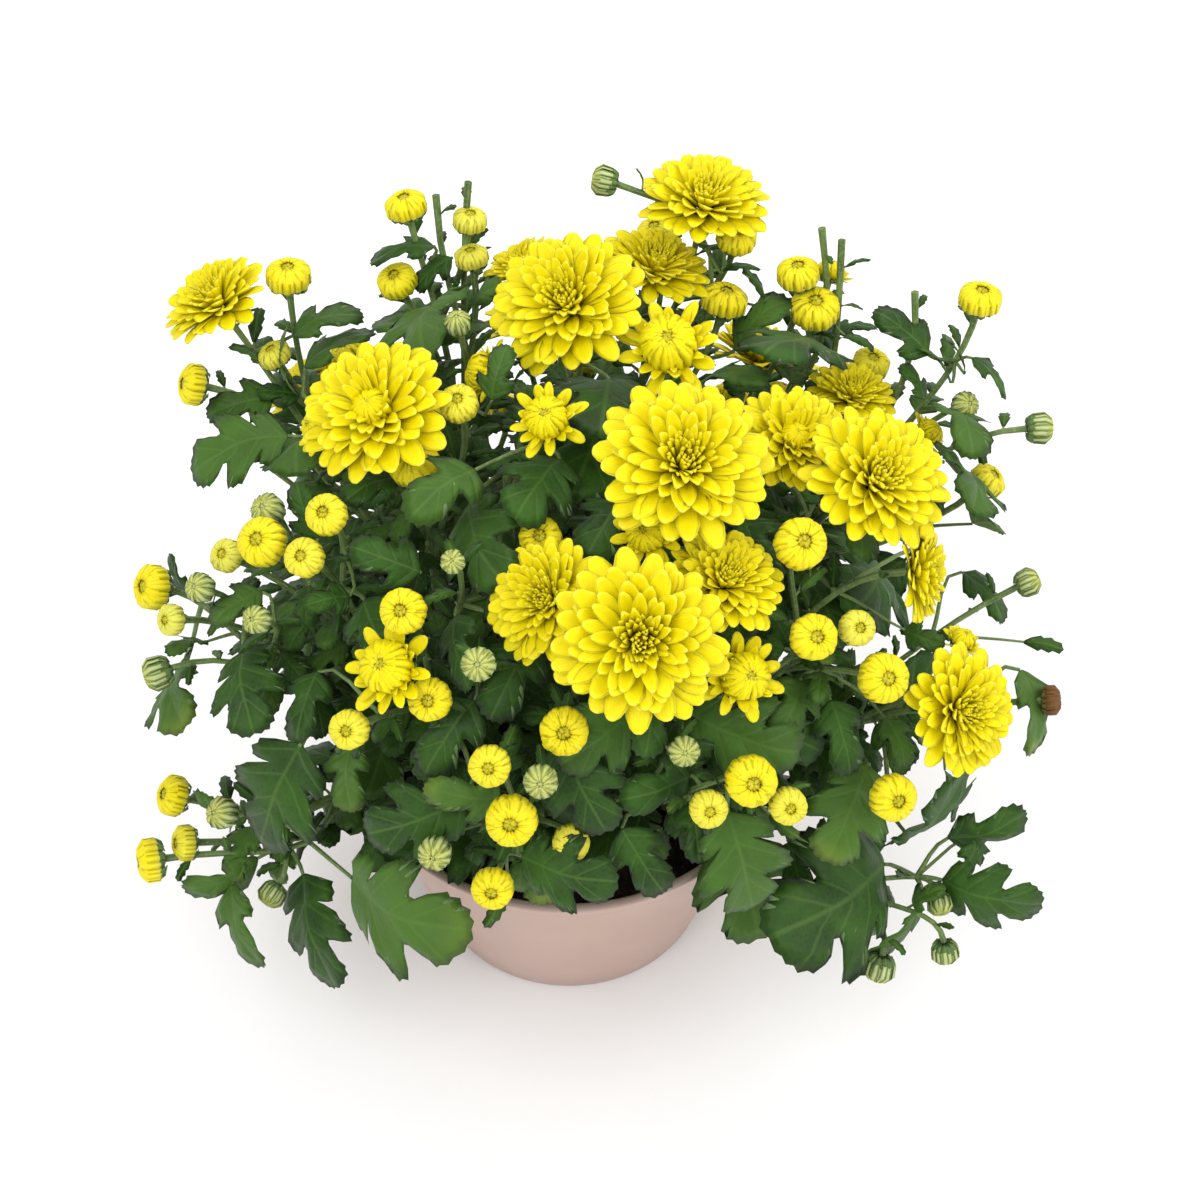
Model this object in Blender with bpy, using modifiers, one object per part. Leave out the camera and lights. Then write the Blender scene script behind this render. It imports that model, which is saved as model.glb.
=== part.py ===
"""A pot chrysanthemum: six leafy cuttings in a tapered plastic pot, under double yellow blooms.

Units are metres, +Z is up, and the origin is the middle of the pot's base. The heads and the
leaves that face the viewer are placed by the pixel at which a 1200 x 1200 photograph shows them:
each pixel gives a line of sight, and the piece sits where that line meets the crown of the plant.
"""

import math
import random
from collections import namedtuple

import bmesh
import bpy
from mathutils import Vector
from mathutils.bvhtree import BVHTree

MM = 0.001
UP = Vector((0, 0, 1))
SEAT_GAP = 0.3 * MM

# The pot: a tapered cup with a thin turned-out rim and drain holes round its flat base
RIM_RADIUS = 70 * MM
POT_HEIGHT = 82 * MM
BASE_RADIUS = 46 * MM
WALL = 1.8 * MM
BASE_THICKNESS = 2.4 * MM
RIM_BAND = 5 * MM
RIM_LIP = 1.4 * MM
POT_EDGE = 1.2 * MM
POT_SIDES = 28
POT_SHARP = math.radians(40)
DRAIN_HOLES = 5
DRAIN_RADIUS = 2.4 * MM
DRAIN_RING = 34 * MM

# The soil fills the pot to a little under the rim
SOIL_TOP = POT_HEIGHT - 9 * MM
SOIL_LUMP = 1.2 * MM
SOIL_RINGS = ((0.66, 16), (0.33, 9))

# The cuttings stand in plain holes in the soil
FOOT_DEPTH = 26 * MM
FOOT_RADIUS = 3.2 * MM
FOOT_HOLE = 3.8 * MM
TRUNK_HEIGHT = 18 * MM
TRUNK_TOP = 0.8
TRUNK_SIDES = 7
SHOOT_RADIUS = 1.7 * MM
SHOOT_THICKEST = 1.15
SHOOT_TAPER = 0.11
STALK_RADIUS = 1.05 * MM
CUP_RADIUS = 4.2 * MM
CUP_DEPTH = 2.6 * MM
CUP_FULL_ACROSS = 40
CUP_SMALLEST = 0.55
CUP_SIDES = 6
STALK_SIDES = 3
SHOOT_SIDES = 4
SHOOT_STEPS = 4
LONG_STALK = 32 * MM
SHOOT_SUNK = 2.5 * MM
SHOOT_STEP = 3 * MM

# The viewpoint of the photograph, and the rounded crown that the heads and leaves lie on and face out of
PICTURE_MIDDLE = 600
FOCAL_PIXELS = 2800
VIEW_DISTANCE = 0.86
VIEW_ELEVATION = math.radians(50)
VIEW_AIM = Vector((0.0105, 0.0, 0.148))
CROWN_MIDDLE = Vector((0.006, 0.005, 0.125))
CROWN_RADII = Vector((0.140, 0.105, 0.118))
CROWN_FOOT = Vector((0, 0, 0.06))
CROWN_PULL = 0.75
TOWARDS_SKY_AND_VIEWER = Vector((0, -0.28, 0.5))

# How pieces are kept clear of each other: the ways that are tried, in order, until one crosses nothing.
# A shoot forks at a share of its reach, a stalk leaves its shoot at another, and both swing aside
CLEAR = 0.8 * MM
HEAD_CLEARANCE = 1.06
SINK_STEP = 2.5 * MM
SINK_STEPS = 24
SHOOT_SWINGS = (0, 0.25, -0.25, 0.5, -0.5, 0.8, -0.8, 1.2, -1.2)
FORK_SHARES = (0.74, 0.66, 0.8, 0.58)
STALK_SWINGS = (0, 0.3, -0.3, 0.6, -0.6, 1.0, -1.0, 1.5, -1.5)
SHOOT_EASE = 0.38
SHOOT_SPREAD = 0.45
SHOOT_LIFT = 0.4
STALK_EASES = (0.38, 0.25, 0.5)
STALK_LAST = 5
STALK_TOP = 0.96
STALK_SPACING = 0.11
STALK_ELSEWHERE = (0.9, 0.7, 0.5)
LEAF_DIPS = (0, 0.03, -0.03, 0.06, 0.09, 0.12, 0.16, 0.2, 0.25, 0.3)
LEAF_ROLLS = (0, 0.3, -0.3, 0.6, -0.6)
LEAF_ROOT_LEVEL = -0.08
LEAF_TIP_LEVEL = 0.02

# A bloom's rings from its seat to its middle, as shares of its radius: a plain ring is (height,
# radius, turn), and a layer of petals is (radius, notch, height, fall between petals, turn)
BLOOM_ROWS = {
    "open": [
        (0, 0.19, 0),
        (1.0, 0.74, 0.24, 0.02, 0),
        (0.34, 0.56, 0),
        (0.80, 0.56, 0.52, 0.04, 0.5),
        (0.54, 0.36, 0.5),
        (0.52, 0.32, 0.72, 0.04, 0),
    ],
    "half": [
        (0, 0.24, 0),
        (1.0, 0.62, 0.5, 0.1, 0),
        (0.62, 0.62, 0),
        (0.94, 0.48, 0.5),
    ],
}
BLOOM_DIMPLE = {"open": 0.56, "half": 0.88}
PETALS = 8
MANY_PETALS = 10
MANY_PETALS_ACROSS = 41
PETAL_REACH = (0.93, 1.04)
PETAL_LIFT = 0.05
PETAL_TIP_CORNERS = (0.27, 0.73)

# A bud's rings above its stalk, as shares of its radius: (height, radius)
BUD_ROWS = {"yellow": [(0.5, 1.0), (1.3, 0.76)], "green": [(0.45, 0.95), (1.25, 0.75)]}
BUD_TOP = {"yellow": 1.12, "green": 1.6}
BUD_SIDES = 6

# How far the middle of a head stands over its seat, as a share of its width
HEAD_RISE = {"open": 0.17, "half": 0.34, "yellow": 0.38, "green": 0.42, "cut": 0.0}

Head = namedtuple("Head", "kind px py across level faces", defaults=(1.0, None))
Leaf = namedtuple("Leaf", "root_px root_py tip_px tip_py level", defaults=(0.92,))
Spray = namedtuple("Spray", "stem heads leaves fill", defaults=(1,))
Placed = namedtuple("Placed", "node label middle reach tree")

FEET = {
    "leafy_stem_1": (200, 40 * MM),
    "leafy_stem_2": (262, 38 * MM),
    "leafy_stem_3": (325, 40 * MM),
    "leafy_stem_4": (28, 40 * MM),
    "leafy_stem_5": (90, 36 * MM),
    "leafy_stem_6": (148, 40 * MM),
}

# Each spray lists its heads (kind, pixel, width across in mm) and its leaves (root pixel, tip pixel)
SPRAYS = [
    Spray(
        "leafy_stem_2",
        [
            Head("open", 640, 640, 48, 1.03),
            Head("open", 545, 600, 36, 0.95, (-0.45, -0.45, 0.8)),
            Head("open", 728, 577, 34, 0.93, (0.25, -0.1, 0.9)),
            Head("half", 748, 676, 25, 0.95, (0.35, -0.55, 0.7)),
            Head("yellow", 564, 732, 14.5, 0.93),
            Head("yellow", 540, 537, 13, 0.86),
        ],
        [Leaf(655, 690, 645, 758), Leaf(640, 705, 560, 765, 0.84), Leaf(690, 712, 800, 752, 0.86),
         Leaf(560, 742, 606, 832, 0.88), Leaf(600, 560, 540, 640, 0.76)],
    ),
    Spray(
        "leafy_stem_2",
        [
            Head("yellow", 511, 822, 15.5, 1.0),
            Head("yellow", 489, 767, 12.5),
            Head("green", 541, 781, 10),
            Head("yellow", 571, 844, 11.5),
            Head("green", 435, 853, 10),
            Head("yellow", 492, 890, 13),
        ],
        [
            Leaf(522, 856, 617, 882, 0.96),
            Leaf(505, 893, 484, 928, 0.96),
            Leaf(500, 797, 424, 786),
            Leaf(540, 800, 620, 812, 0.86),
        ],
    ),
    Spray(
        "leafy_stem_2",
        [
            Head("yellow", 752, 782, 15.5, 1.0),
            Head("yellow", 709, 810, 11.5),
            Head("yellow", 789, 807, 11.5),
            Head("green", 684, 751, 9),
        ],
        [
            Leaf(728, 812, 752, 907, 0.98),
            Leaf(622, 828, 664, 893, 0.94),
            Leaf(690, 775, 620, 800, 0.86),
            Leaf(770, 815, 800, 838, 0.94),
        ],
    ),
    Spray(
        "leafy_stem_1",
        [
            Head("half", 383, 665, 27, 1.0, (-0.35, -0.45, 0.8)),
            Head("yellow", 402, 611, 13.6),
            Head("yellow", 429, 700, 13),
            Head("yellow", 348, 730, 12),
            Head("green", 479, 664, 10),
            Head("green", 453, 562, 7),
        ],
        [
            Leaf(466, 800, 367, 834, 0.95),
            Leaf(440, 740, 470, 790, 0.88),
            Leaf(350, 745, 352, 812, 0.88),
            Leaf(455, 615, 470, 690, 0.84),
            Leaf(530, 640, 490, 720, 0.8),
            Leaf(500, 600, 450, 650, 0.8),
            Leaf(475, 700, 425, 775, 0.86),
            Leaf(318, 672, 297, 740, 0.9),
        ],
    ),
    Spray(
        "leafy_stem_1",
        [
            Head("yellow", 260, 541, 15, 1.0),
            Head("yellow", 325, 514, 12.5),
            Head("yellow", 303, 557, 12),
            Head("yellow", 225, 555, 10.5, 0.96),
            Head("green", 268, 510, 10, 0.94),
        ],
        [
            Leaf(420, 572, 349, 546, 0.92),
            Leaf(350, 596, 303, 606, 0.92),
            Leaf(365, 600, 395, 668, 0.86),
            Leaf(318, 538, 297, 482, 0.9),
            Leaf(300, 612, 250, 664, 0.93),
        ],
    ),
    Spray(
        "leafy_stem_1",
        [
            Head("yellow", 149, 587, 14.4, 1.0, (-0.75, -0.4, 0.6)),
            Head("yellow", 169, 620, 10, 1.0, (-0.6, -0.5, 0.55)),
            Head("green", 200, 588, 9),
            Head("green", 157, 673, 10.5, 1.0, (-0.8, -0.3, -0.1)),
            Head("green", 257, 620, 8.5),
        ],
        [
            Leaf(243, 650, 255, 734, 0.97),
            Leaf(262, 592, 212, 624, 0.93),
            Leaf(205, 642, 169, 656, 0.95),
            Leaf(186, 664, 187, 727, 0.97),
            Leaf(187, 592, 170, 553, 0.93),
        ],
    ),
    Spray(
        "leafy_stem_1",
        [
            Head("yellow", 147, 861, 14.5, 1.0, (-0.9, -0.25, 0.1)),
            Head("yellow", 170, 795, 13.5, 1.0, (-0.8, -0.2, 0.6)),
            Head("yellow", 182, 843, 12, 0.97, (-0.85, -0.3, 0.35)),
            Head("green", 222, 813, 10, 1.0, (-0.5, -0.4, 0.6)),
            Head("green", 272, 895, 9, 1.0, (-0.4, -0.6, -0.2)),
        ],
        [
            Leaf(303, 874, 336, 987, 1.0),
            Leaf(352, 878, 471, 930, 1.0),
            Leaf(232, 884, 264, 967, 1.0),
            Leaf(300, 745, 262, 842, 0.97),
            Leaf(258, 858, 182, 886, 0.97),
            Leaf(236, 815, 205, 792, 0.96),
            Leaf(258, 826, 234, 882, 0.96),
        ],
    ),
    Spray(
        "leafy_stem_5",
        [
            Head("open", 685, 460, 48, 1.02),
            Head("half", 645, 530, 21, 0.9, (-0.2, -0.5, 0.8)),
        ],
        [Leaf(745, 520, 775, 590, 0.84), Leaf(620, 500, 585, 560, 0.82), Leaf(640, 560, 660, 500, 0.7)],
    ),
    Spray(
        "leafy_stem_6",
        [
            Head("half", 545, 415, 22, 0.97, (-0.15, -0.4, 0.9)),
            Head("half", 474, 370, 20, 0.88, (-0.9, 0.1, 0.3)),
        ],
        [
            Leaf(560, 460, 515, 520, 0.86),
            Leaf(475, 470, 408, 520, 0.93),
            Leaf(600, 420, 570, 500, 0.8),
            Leaf(500, 560, 540, 640, 0.82),
            Leaf(470, 505, 505, 585, 0.82),
        ],
    ),
    Spray(
        "leafy_stem_4",
        [
            Head("open", 880, 475, 43, 1.0, (0.3, -0.3, 0.85)),
            Head("open", 795, 437, 34, 0.98),
            Head("open", 852, 390, 27, 0.9, (0.1, 0.15, 0.95)),
            Head("half", 935, 430, 15, 0.92, (0.75, 0.1, 0.6)),
            Head("yellow", 990, 478, 12.2, 0.97, (0.6, 0.1, 0.8)),
        ],
        [
            Leaf(944, 462, 972, 512, 0.95),
            Leaf(972, 524, 998, 532, 0.95),
            Leaf(850, 520, 860, 560, 0.86),
        ],
    ),
    Spray(
        "leafy_stem_3",
        [
            Head("yellow", 802, 543, 15.5, 0.98),
            Head("yellow", 815, 637, 14, 0.98),
            Head("yellow", 858, 628, 11, 0.95),
            Head("yellow", 885, 678, 15.3, 0.98),
            Head("open", 925, 572, 29, 0.96, (0.9, -0.22, 0.25)),
        ],
        [
            Leaf(870, 560, 850, 615, 0.84),
            Leaf(800, 570, 840, 650, 0.82),
            Leaf(800, 680, 770, 745, 0.85),
            Leaf(905, 630, 945, 645, 0.9),
            Leaf(830, 700, 850, 775, 0.86),
            Leaf(905, 560, 845, 605, 0.82),
            Leaf(745, 712, 822, 752, 0.88),
            Leaf(866, 716, 806, 735, 0.84),
            Leaf(885, 718, 905, 768, 0.86),
            Leaf(840, 690, 790, 655, 0.8),
        ],
    ),
    Spray(
        "leafy_stem_3",
        [
            Head("open", 965, 710, 37, 1.02, (0.5, -0.5, 0.65)),
            Head("half", 965, 636, 13, 0.94, (0.3, 0.2, 0.9)),
            Head("yellow", 895, 799, 14.7, 1.0),
            Head("yellow", 1054, 700, 10, 1.0, (0.9, -0.1, 0.2)),
            Head("green", 1028, 582, 9, 1.0, (0.8, 0.1, 0.5)),
        ],
        [
            Leaf(1024, 642, 1064, 650, 0.97),
            Leaf(1020, 670, 1029, 756, 0.95),
            Leaf(962, 572, 1004, 622, 0.93),
            Leaf(905, 832, 950, 778, 0.94),
            Leaf(895, 720, 915, 655, 0.84),
            Leaf(945, 770, 952, 822, 0.93),
            Leaf(868, 765, 828, 862, 0.92),
        ],
    ),
    Spray(
        "leafy_stem_3",
        [
            Head("green", 945, 952, 9, 1.0, (0.15, -0.4, -0.85)),
            Head("green", 879, 968, 10.5, 1.0, (-0.2, -0.5, -0.7)),
            Head("green", 940, 905, 8, 0.97, (0.1, -0.8, -0.2)),
        ],
        [
            Leaf(884, 864, 770, 938, 0.98),
            Leaf(923, 896, 866, 955, 1.0),
            Leaf(942, 880, 1042, 903, 1.0),
            Leaf(948, 838, 1026, 812, 0.99),
            Leaf(975, 842, 955, 886, 0.95),
        ],
        1,
    ),
    Spray(
        "leafy_stem_5",
        [
            Head("half", 668, 340, 30, 0.98, (-0.1, -0.4, 0.9)),
            Head("yellow", 725, 297, 15, 0.95),
        ],
        [Leaf(735, 350, 790, 300, 0.9), Leaf(700, 385, 765, 385, 0.84)],
    ),
    Spray(
        "leafy_stem_5",
        [
            Head("open", 565, 300, 44, 1.02, (-0.25, -0.35, 0.9)),
            Head("open", 655, 262, 34, 0.9, (0.2, 0.15, 1)),
            Head("open", 520, 262, 26, 0.9, (-0.4, 0.3, 0.8)),
        ],
        [Leaf(500, 330, 450, 345, 0.86), Leaf(610, 380, 600, 440, 0.84)],
    ),
    Spray(
        "leafy_stem_6",
        [
            Head("open", 372, 408, 44, 1.0, (-0.3, -0.3, 0.9)),
            Head("half", 312, 425, 18, 0.93, (-0.7, -0.2, 0.6)),
            Head("yellow", 412, 460, 16, 1.0),
            Head("yellow", 458, 402, 12, 0.97),
        ],
        [
            Leaf(330, 440, 296, 475, 0.93),
            Leaf(288, 436, 193, 474, 0.98),
            Leaf(395, 478, 343, 502, 0.9),
            Leaf(305, 368, 376, 334, 0.92),
        ],
    ),
    Spray(
        "leafy_stem_6",
        [
            Head("open", 212, 297, 34, 1.0, (-0.45, 0.05, 0.9)),
            Head("yellow", 288, 273, 14.5, 1.0, (0, 0.1, 1)),
            Head("yellow", 273, 353, 11, 0.98),
            Head("yellow", 190, 384, 13.5, 1.0, (-0.85, -0.2, 0.4)),
        ],
        [
            Leaf(292, 336, 363, 316, 0.97),
            Leaf(297, 396, 289, 324, 0.95),
            Leaf(262, 364, 228, 347, 0.97),
            Leaf(274, 398, 207, 416, 0.97),
            Leaf(300, 396, 256, 392, 0.94),
        ],
    ),
    Spray(
        "leafy_stem_6",
        [
            Head("yellow", 405, 203, 13.4, 1.0, (-0.2, 0.2, 1)),
            Head("yellow", 470, 218, 11, 1.0, (0.1, 0.1, 1)),
            Head("yellow", 471, 255, 11),
            Head("yellow", 396, 279, 13, 1.0, (-0.3, -0.1, 1)),
            Head("green", 458, 323, 8),
            Head("cut", 436, 195, 2, 1.0, (0, 0.35, 1)),
            Head("cut", 468, 182, 2, 1.0, (0.1, 0.35, 1)),
        ],
        [
            Leaf(434, 246, 370, 264, 0.97),
            Leaf(455, 342, 372, 327, 0.95),
            Leaf(452, 258, 416, 290, 0.94),
            Leaf(472, 322, 502, 284, 1.0),
            Leaf(440, 306, 426, 364, 0.93),
            Leaf(492, 400, 508, 345, 0.98),
            Leaf(455, 394, 405, 366, 0.86),
        ],
    ),
    Spray(
        "leafy_stem_5",
        [
            Head("open", 705, 195, 38, 1.02, (0.1, 0.0, 1)),
            Head("yellow", 737, 235, 13, 1.0, (0.1, -0.1, 1)),
            Head("yellow", 655, 230, 12, 0.98, (-0.2, 0, 1)),
            Head("green", 604, 181, 9.5, 1.0, (-0.9, 0.1, 0.2)),
        ],
        [Leaf(765, 300, 742, 268, 0.88), Leaf(722, 272, 706, 220, 0.9)],
    ),
    Spray(
        "leafy_stem_4",
        [
            Head("yellow", 815, 306, 15.8, 1.0, (0, -0.1, 1)),
            Head("yellow", 798, 271, 13.8, 0.97, (-0.1, 0.1, 1)),
            Head("half", 832, 266, 15, 0.9, (0.2, 0.5, 0.8)),
            Head("yellow", 872, 362, 12.5, 0.98, (0.2, 0, 1)),
            Head("cut", 822, 228, 2, 1.0, (-0.15, 0.4, 1)),
            Head("cut", 842, 240, 2, 1.0, (0, 0.4, 1)),
        ],
        [
            Leaf(822, 350, 762, 356, 0.93),
            Leaf(845, 335, 874, 352, 0.94),
        ],
    ),
    Spray(
        "leafy_stem_4",
        [
            Head("yellow", 981, 296, 13.8, 1.0, (0.1, 0.1, 1)),
            Head("green", 1040, 428, 10, 1.0, (0.95, 0, 0.05)),
            Head("green", 965, 405, 8.5, 0.98, (0.3, -0.4, 0.6)),
            Head("cut", 915, 292, 2, 1.0, (-0.15, 0.3, 1)),
        ],
        [
            Leaf(972, 358, 1006, 399, 0.98),
            Leaf(928, 355, 874, 311, 0.97),
            Leaf(925, 400, 900, 365, 0.93),
            Leaf(950, 382, 912, 345, 0.94),
            Leaf(965, 372, 942, 338, 0.97),
            Leaf(945, 408, 972, 460, 0.99),
        ],
    ),
]

# The side that the photograph hides: (stem, turn round the crown, lean from upright, kinds of head)
HIDDEN_SPRAYS = [
    ("leafy_stem_4", 48, 88, ("open", "yellow", "green")),
    ("leafy_stem_4", 64, 72, ("open", "yellow", "yellow", "green")),
    ("leafy_stem_5", 82, 96, ("open", "yellow", "green")),
    ("leafy_stem_5", 96, 66, ("open", "half", "yellow")),
    ("leafy_stem_6", 118, 88, ("open", "yellow", "yellow")),
    ("leafy_stem_6", 130, 72, ("open", "half", "yellow", "green")),
]
HIDDEN_ACROSS = {"open": 40, "half": 22, "yellow": 13, "green": 9}
HIDDEN_SPREAD = 16
HIDDEN_FLATNESS = 0.8
HIDDEN_LEVELS = (1.0, 0.97)
HIDDEN_TWIST = 3
HIDDEN_LEAVES = 4

# Leaves hung by rule climb a shoot in a spiral, and are smaller towards its top
SPIRAL_STEP = 137.5
FIRST_LEAF = 0.25
LEAF_STRETCH = 0.7
PETIOLE = 9 * MM
LOW_LEAF_LENGTH = 46 * MM
LEAF_SHORTENING = 16 * MM
LEAF_SIZES = (0.85, 1.15)
LEAF_ASIDE = 0.75
LEAF_OUTWARD = 0.6
LEAF_UPWARD = 0.1
LEAF_DROP = 0.25
LEAF_TILT = 0.4
LEAF_ATTEMPTS = 24

# The half outline of a leaf from root to tip, as shares of its length (along, aside), and which of
# its points are the tips of lobes
LARGE_LEAF = ([(0.0, 0.03), (0.17, 0.34), (0.33, 0.18), (0.54, 0.46), (0.66, 0.22), (0.85, 0.27)], (1, 3))
SMALL_LEAF = ([(0.0, 0.04), (0.33, 0.42), (0.49, 0.21), (0.82, 0.27)], (1,))
LARGE_LEAF_LENGTH = 28 * MM
LEAF_THICKNESS = 0.8 * MM
LEAF_ARCH = 0.13
LEAF_DROOP = 0.35
LEAF_HEEL = 0.3
BLADE_START = (0.02, 0.08)
FOOT_SUNK = 0.1 * MM
FOOT_HALF = 0.35 * MM
FLAT_ANGLE = 0.01
FEWER_FACES = (0.7, 0.72, 0.76, 0.8, 0.9, 1.0)


placed = []


def sight(px, py):
    """The viewpoint, and the direction in which it sees a pixel."""
    across = Vector((1, 0, 0))
    back = Vector((0, -math.cos(VIEW_ELEVATION), math.sin(VIEW_ELEVATION)))
    upward = back.cross(across)
    way = across * (px - PICTURE_MIDDLE) + upward * (PICTURE_MIDDLE - py) - back * FOCAL_PIXELS
    return VIEW_AIM + back * VIEW_DISTANCE, way.normalized()


def shrunk(vector):
    """The vector in a space where the crown is a ball of radius 1."""
    return Vector(vector[i] / CROWN_RADII[i] for i in range(3))


def on_crown(px, py, level):
    """Where a pixel's line of sight meets the crown at that level, or passes nearest to its middle."""
    eye, way = sight(px, py)
    start, slope = shrunk(eye - CROWN_MIDDLE), shrunk(way)
    distance = -start.dot(slope) / slope.length_squared
    inside = level**2 - (start + slope * distance).length_squared
    if inside > 0:
        distance -= math.sqrt(inside / slope.length_squared)
    return eye + way * distance


def round_crown(turn, lean, level):
    """The point of the crown in a direction given by two angles in degrees."""
    turn, lean = math.radians(turn), math.radians(lean)
    way = (math.sin(lean) * math.cos(turn), math.sin(lean) * math.sin(turn), math.cos(lean))
    return CROWN_MIDDLE + Vector(way[i] * CROWN_RADII[i] for i in range(3)) * level


def outward(point):
    """The direction in which the crown faces at a point, turned towards the sky and the viewer."""
    slope = shrunk(shrunk(point - CROWN_MIDDLE)).normalized()
    return (slope * CROWN_PULL + TOWARDS_SKY_AND_VIEWER).normalized()


def aside(way):
    """A direction square to another."""
    return way.cross(Vector((1, 0, 0)) if abs(way.z) > 0.95 else UP).normalized()


def arc_between(start, start_way, end, end_way, steps, ease):
    """Points on a smooth curve that leaves and arrives in the given directions."""
    reach = (end - start).length * ease
    leave, arrive = start + start_way * reach, end - end_way * reach
    points = []
    for i in range(steps + 1):
        share = i / steps
        rest = 1 - share
        pull = leave * rest + arrive * share
        points.append(start * rest**3 + pull * 3 * rest * share + end * share**3)
    return points


def ring(middle, way, side, radius, count, phase=0.0):
    """Points round an axis, each with its share of the turn."""
    other = way.cross(side)
    turns = [(i + phase) / count for i in range(count)]
    spokes = [side * math.cos(t * math.tau) + other * math.sin(t * math.tau) for t in turns]
    return [(turns[i], middle + spokes[i] * radius) for i in range(count)]


def stitched(low, high, low_from, high_from):
    """Triangles between two rings, taken in the order of their turns."""
    faces, i, j = [], 0, 0
    low_turn = [t for t, _ in low] + [low[0][0] + 1]
    high_turn = [t for t, _ in high] + [high[0][0] + 1]
    while i < len(low) or j < len(high):
        a, b = low_from + i % len(low), high_from + j % len(high)
        if j == len(high) or (i < len(low) and low_turn[i + 1] <= high_turn[j + 1]):
            i += 1
            faces.append((a, low_from + i % len(low), b))
        else:
            j += 1
            faces.append((a, high_from + j % len(high), b))
    return faces


def lofted(rings, top=None):
    """A closed solid through rings, with a flat foot, and a flat top or one that runs to a point."""
    points = [p for r in rings for _, p in r]
    starts = [sum(len(r) for r in rings[:k]) for k in range(len(rings))]
    faces = [(0, i + 1, i) for i in range(1, len(rings[0]) - 1)]
    for k in range(len(rings) - 1):
        faces += stitched(rings[k], rings[k + 1], starts[k], starts[k + 1])
    last, count = starts[-1], len(rings[-1])
    if top is None:
        faces += [(last, last + i, last + i + 1) for i in range(1, count - 1)]
    else:
        points.append(top)
        faces += [(last + i, last + (i + 1) % count, len(points) - 1) for i in range(count)]
    return points, faces


def tube_rings(points, radii, sides):
    """Rings along a curve that turn with it and never twist, and the direction of their first points."""
    rings, side = [], None
    for k, point in enumerate(points):
        way = (points[min(k + 1, len(points) - 1)] - points[max(k - 1, 0)]).normalized()
        side = aside(way) if side is None else (side - way * side.dot(way)).normalized()
        rings.append(ring(point, way, side, radii[k], sides))
    return rings, side


def petal_ring(seat, way, side, sizes, petals, phase, rng):
    """The edge of a layer of blunt petals: a notch and two tip corners for each petal."""
    radius, notch, height, fall = sizes
    other, edge = way.cross(side), []
    for i in range(petals):
        reach = radius * rng.uniform(*PETAL_REACH)
        rise = height + radius * rng.uniform(-PETAL_LIFT, PETAL_LIFT)
        corners = [(0, notch, height - fall)] + [(share, reach, rise) for share in PETAL_TIP_CORNERS]
        for share, r, z in corners:
            turn = (i + phase + share) / petals
            spoke = side * math.cos(turn * math.tau) + other * math.sin(turn * math.tau)
            edge.append((turn, seat + spoke * r + way * z))
    return edge


def bloom_solid(seat, way, head, grow=1.0):
    """A head of petals in layers, each standing out over the one below and turned by half a petal."""
    side = aside(way)
    r = head.across * MM / 2 * grow
    rng = random.Random(f"{head.px} {head.py}")
    count = MANY_PETALS if head.across > MANY_PETALS_ACROSS else PETALS
    rings = []
    for row in BLOOM_ROWS[head.kind]:
        phase = row[-1]
        if len(row) == 3:
            rings.append(ring(seat + way * r * row[0], way, side, r * row[1], count // 2, phase))
        else:
            sizes = [r * share for share in row[:4]]
            rings.append(petal_ring(seat, way, side, sizes, count, phase, rng))
    return lofted(rings, seat + way * r * BLOOM_DIMPLE[head.kind])


def bud_rings(seat, way, side, head):
    """A bud's rings above its seat, and its top: a tight cushion with a dimple, or a green button."""
    r = head.across * MM / 2
    rings = [ring(seat + way * r * z, way, side, r * s, BUD_SIDES) for z, s in BUD_ROWS[head.kind]]
    return rings, seat + way * r * BUD_TOP[head.kind]


def head_form(seat, way, head, grow=1.0):
    """The outer form of any head."""
    if head.kind in BLOOM_ROWS:
        return bloom_solid(seat, way, head, grow)
    if head.kind == "cut":
        return lofted([ring(seat - way * MM, way, aside(way), MM, 3), ring(seat, way, aside(way), MM, 3)])
    rings, top = bud_rings(seat, way, aside(way), head._replace(across=head.across * grow))
    return lofted([ring(seat, way, aside(way), STALK_RADIUS, STALK_SIDES)] + rings, top)


def stalk_solid(points, head, facing, more=0.0):
    """A head's stalk: a bloom's ends in the green cup that it sits on, and a bud grows from its own."""
    radius = STALK_RADIUS + more
    rings, side = tube_rings(points, [radius] * len(points), STALK_SIDES)
    side = (side - facing * side.dot(facing)).normalized()
    seat = points[-1]
    if head.kind in BLOOM_ROWS:
        grown = min(1, head.across / CUP_FULL_ACROSS)
        cup = CUP_RADIUS * (CUP_SMALLEST + (1 - CUP_SMALLEST) * grown) + more
        rings[-1] = ring(seat - facing * CUP_DEPTH, facing, side, radius, STALK_SIDES)
        rings.append(ring(seat - facing * SEAT_GAP, facing, side, cup, CUP_SIDES))
        return lofted(rings)
    if head.kind == "cut":
        return lofted(rings)
    tip, top = bud_rings(seat, facing, side, head)
    return lofted(rings + tip, top)


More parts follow.
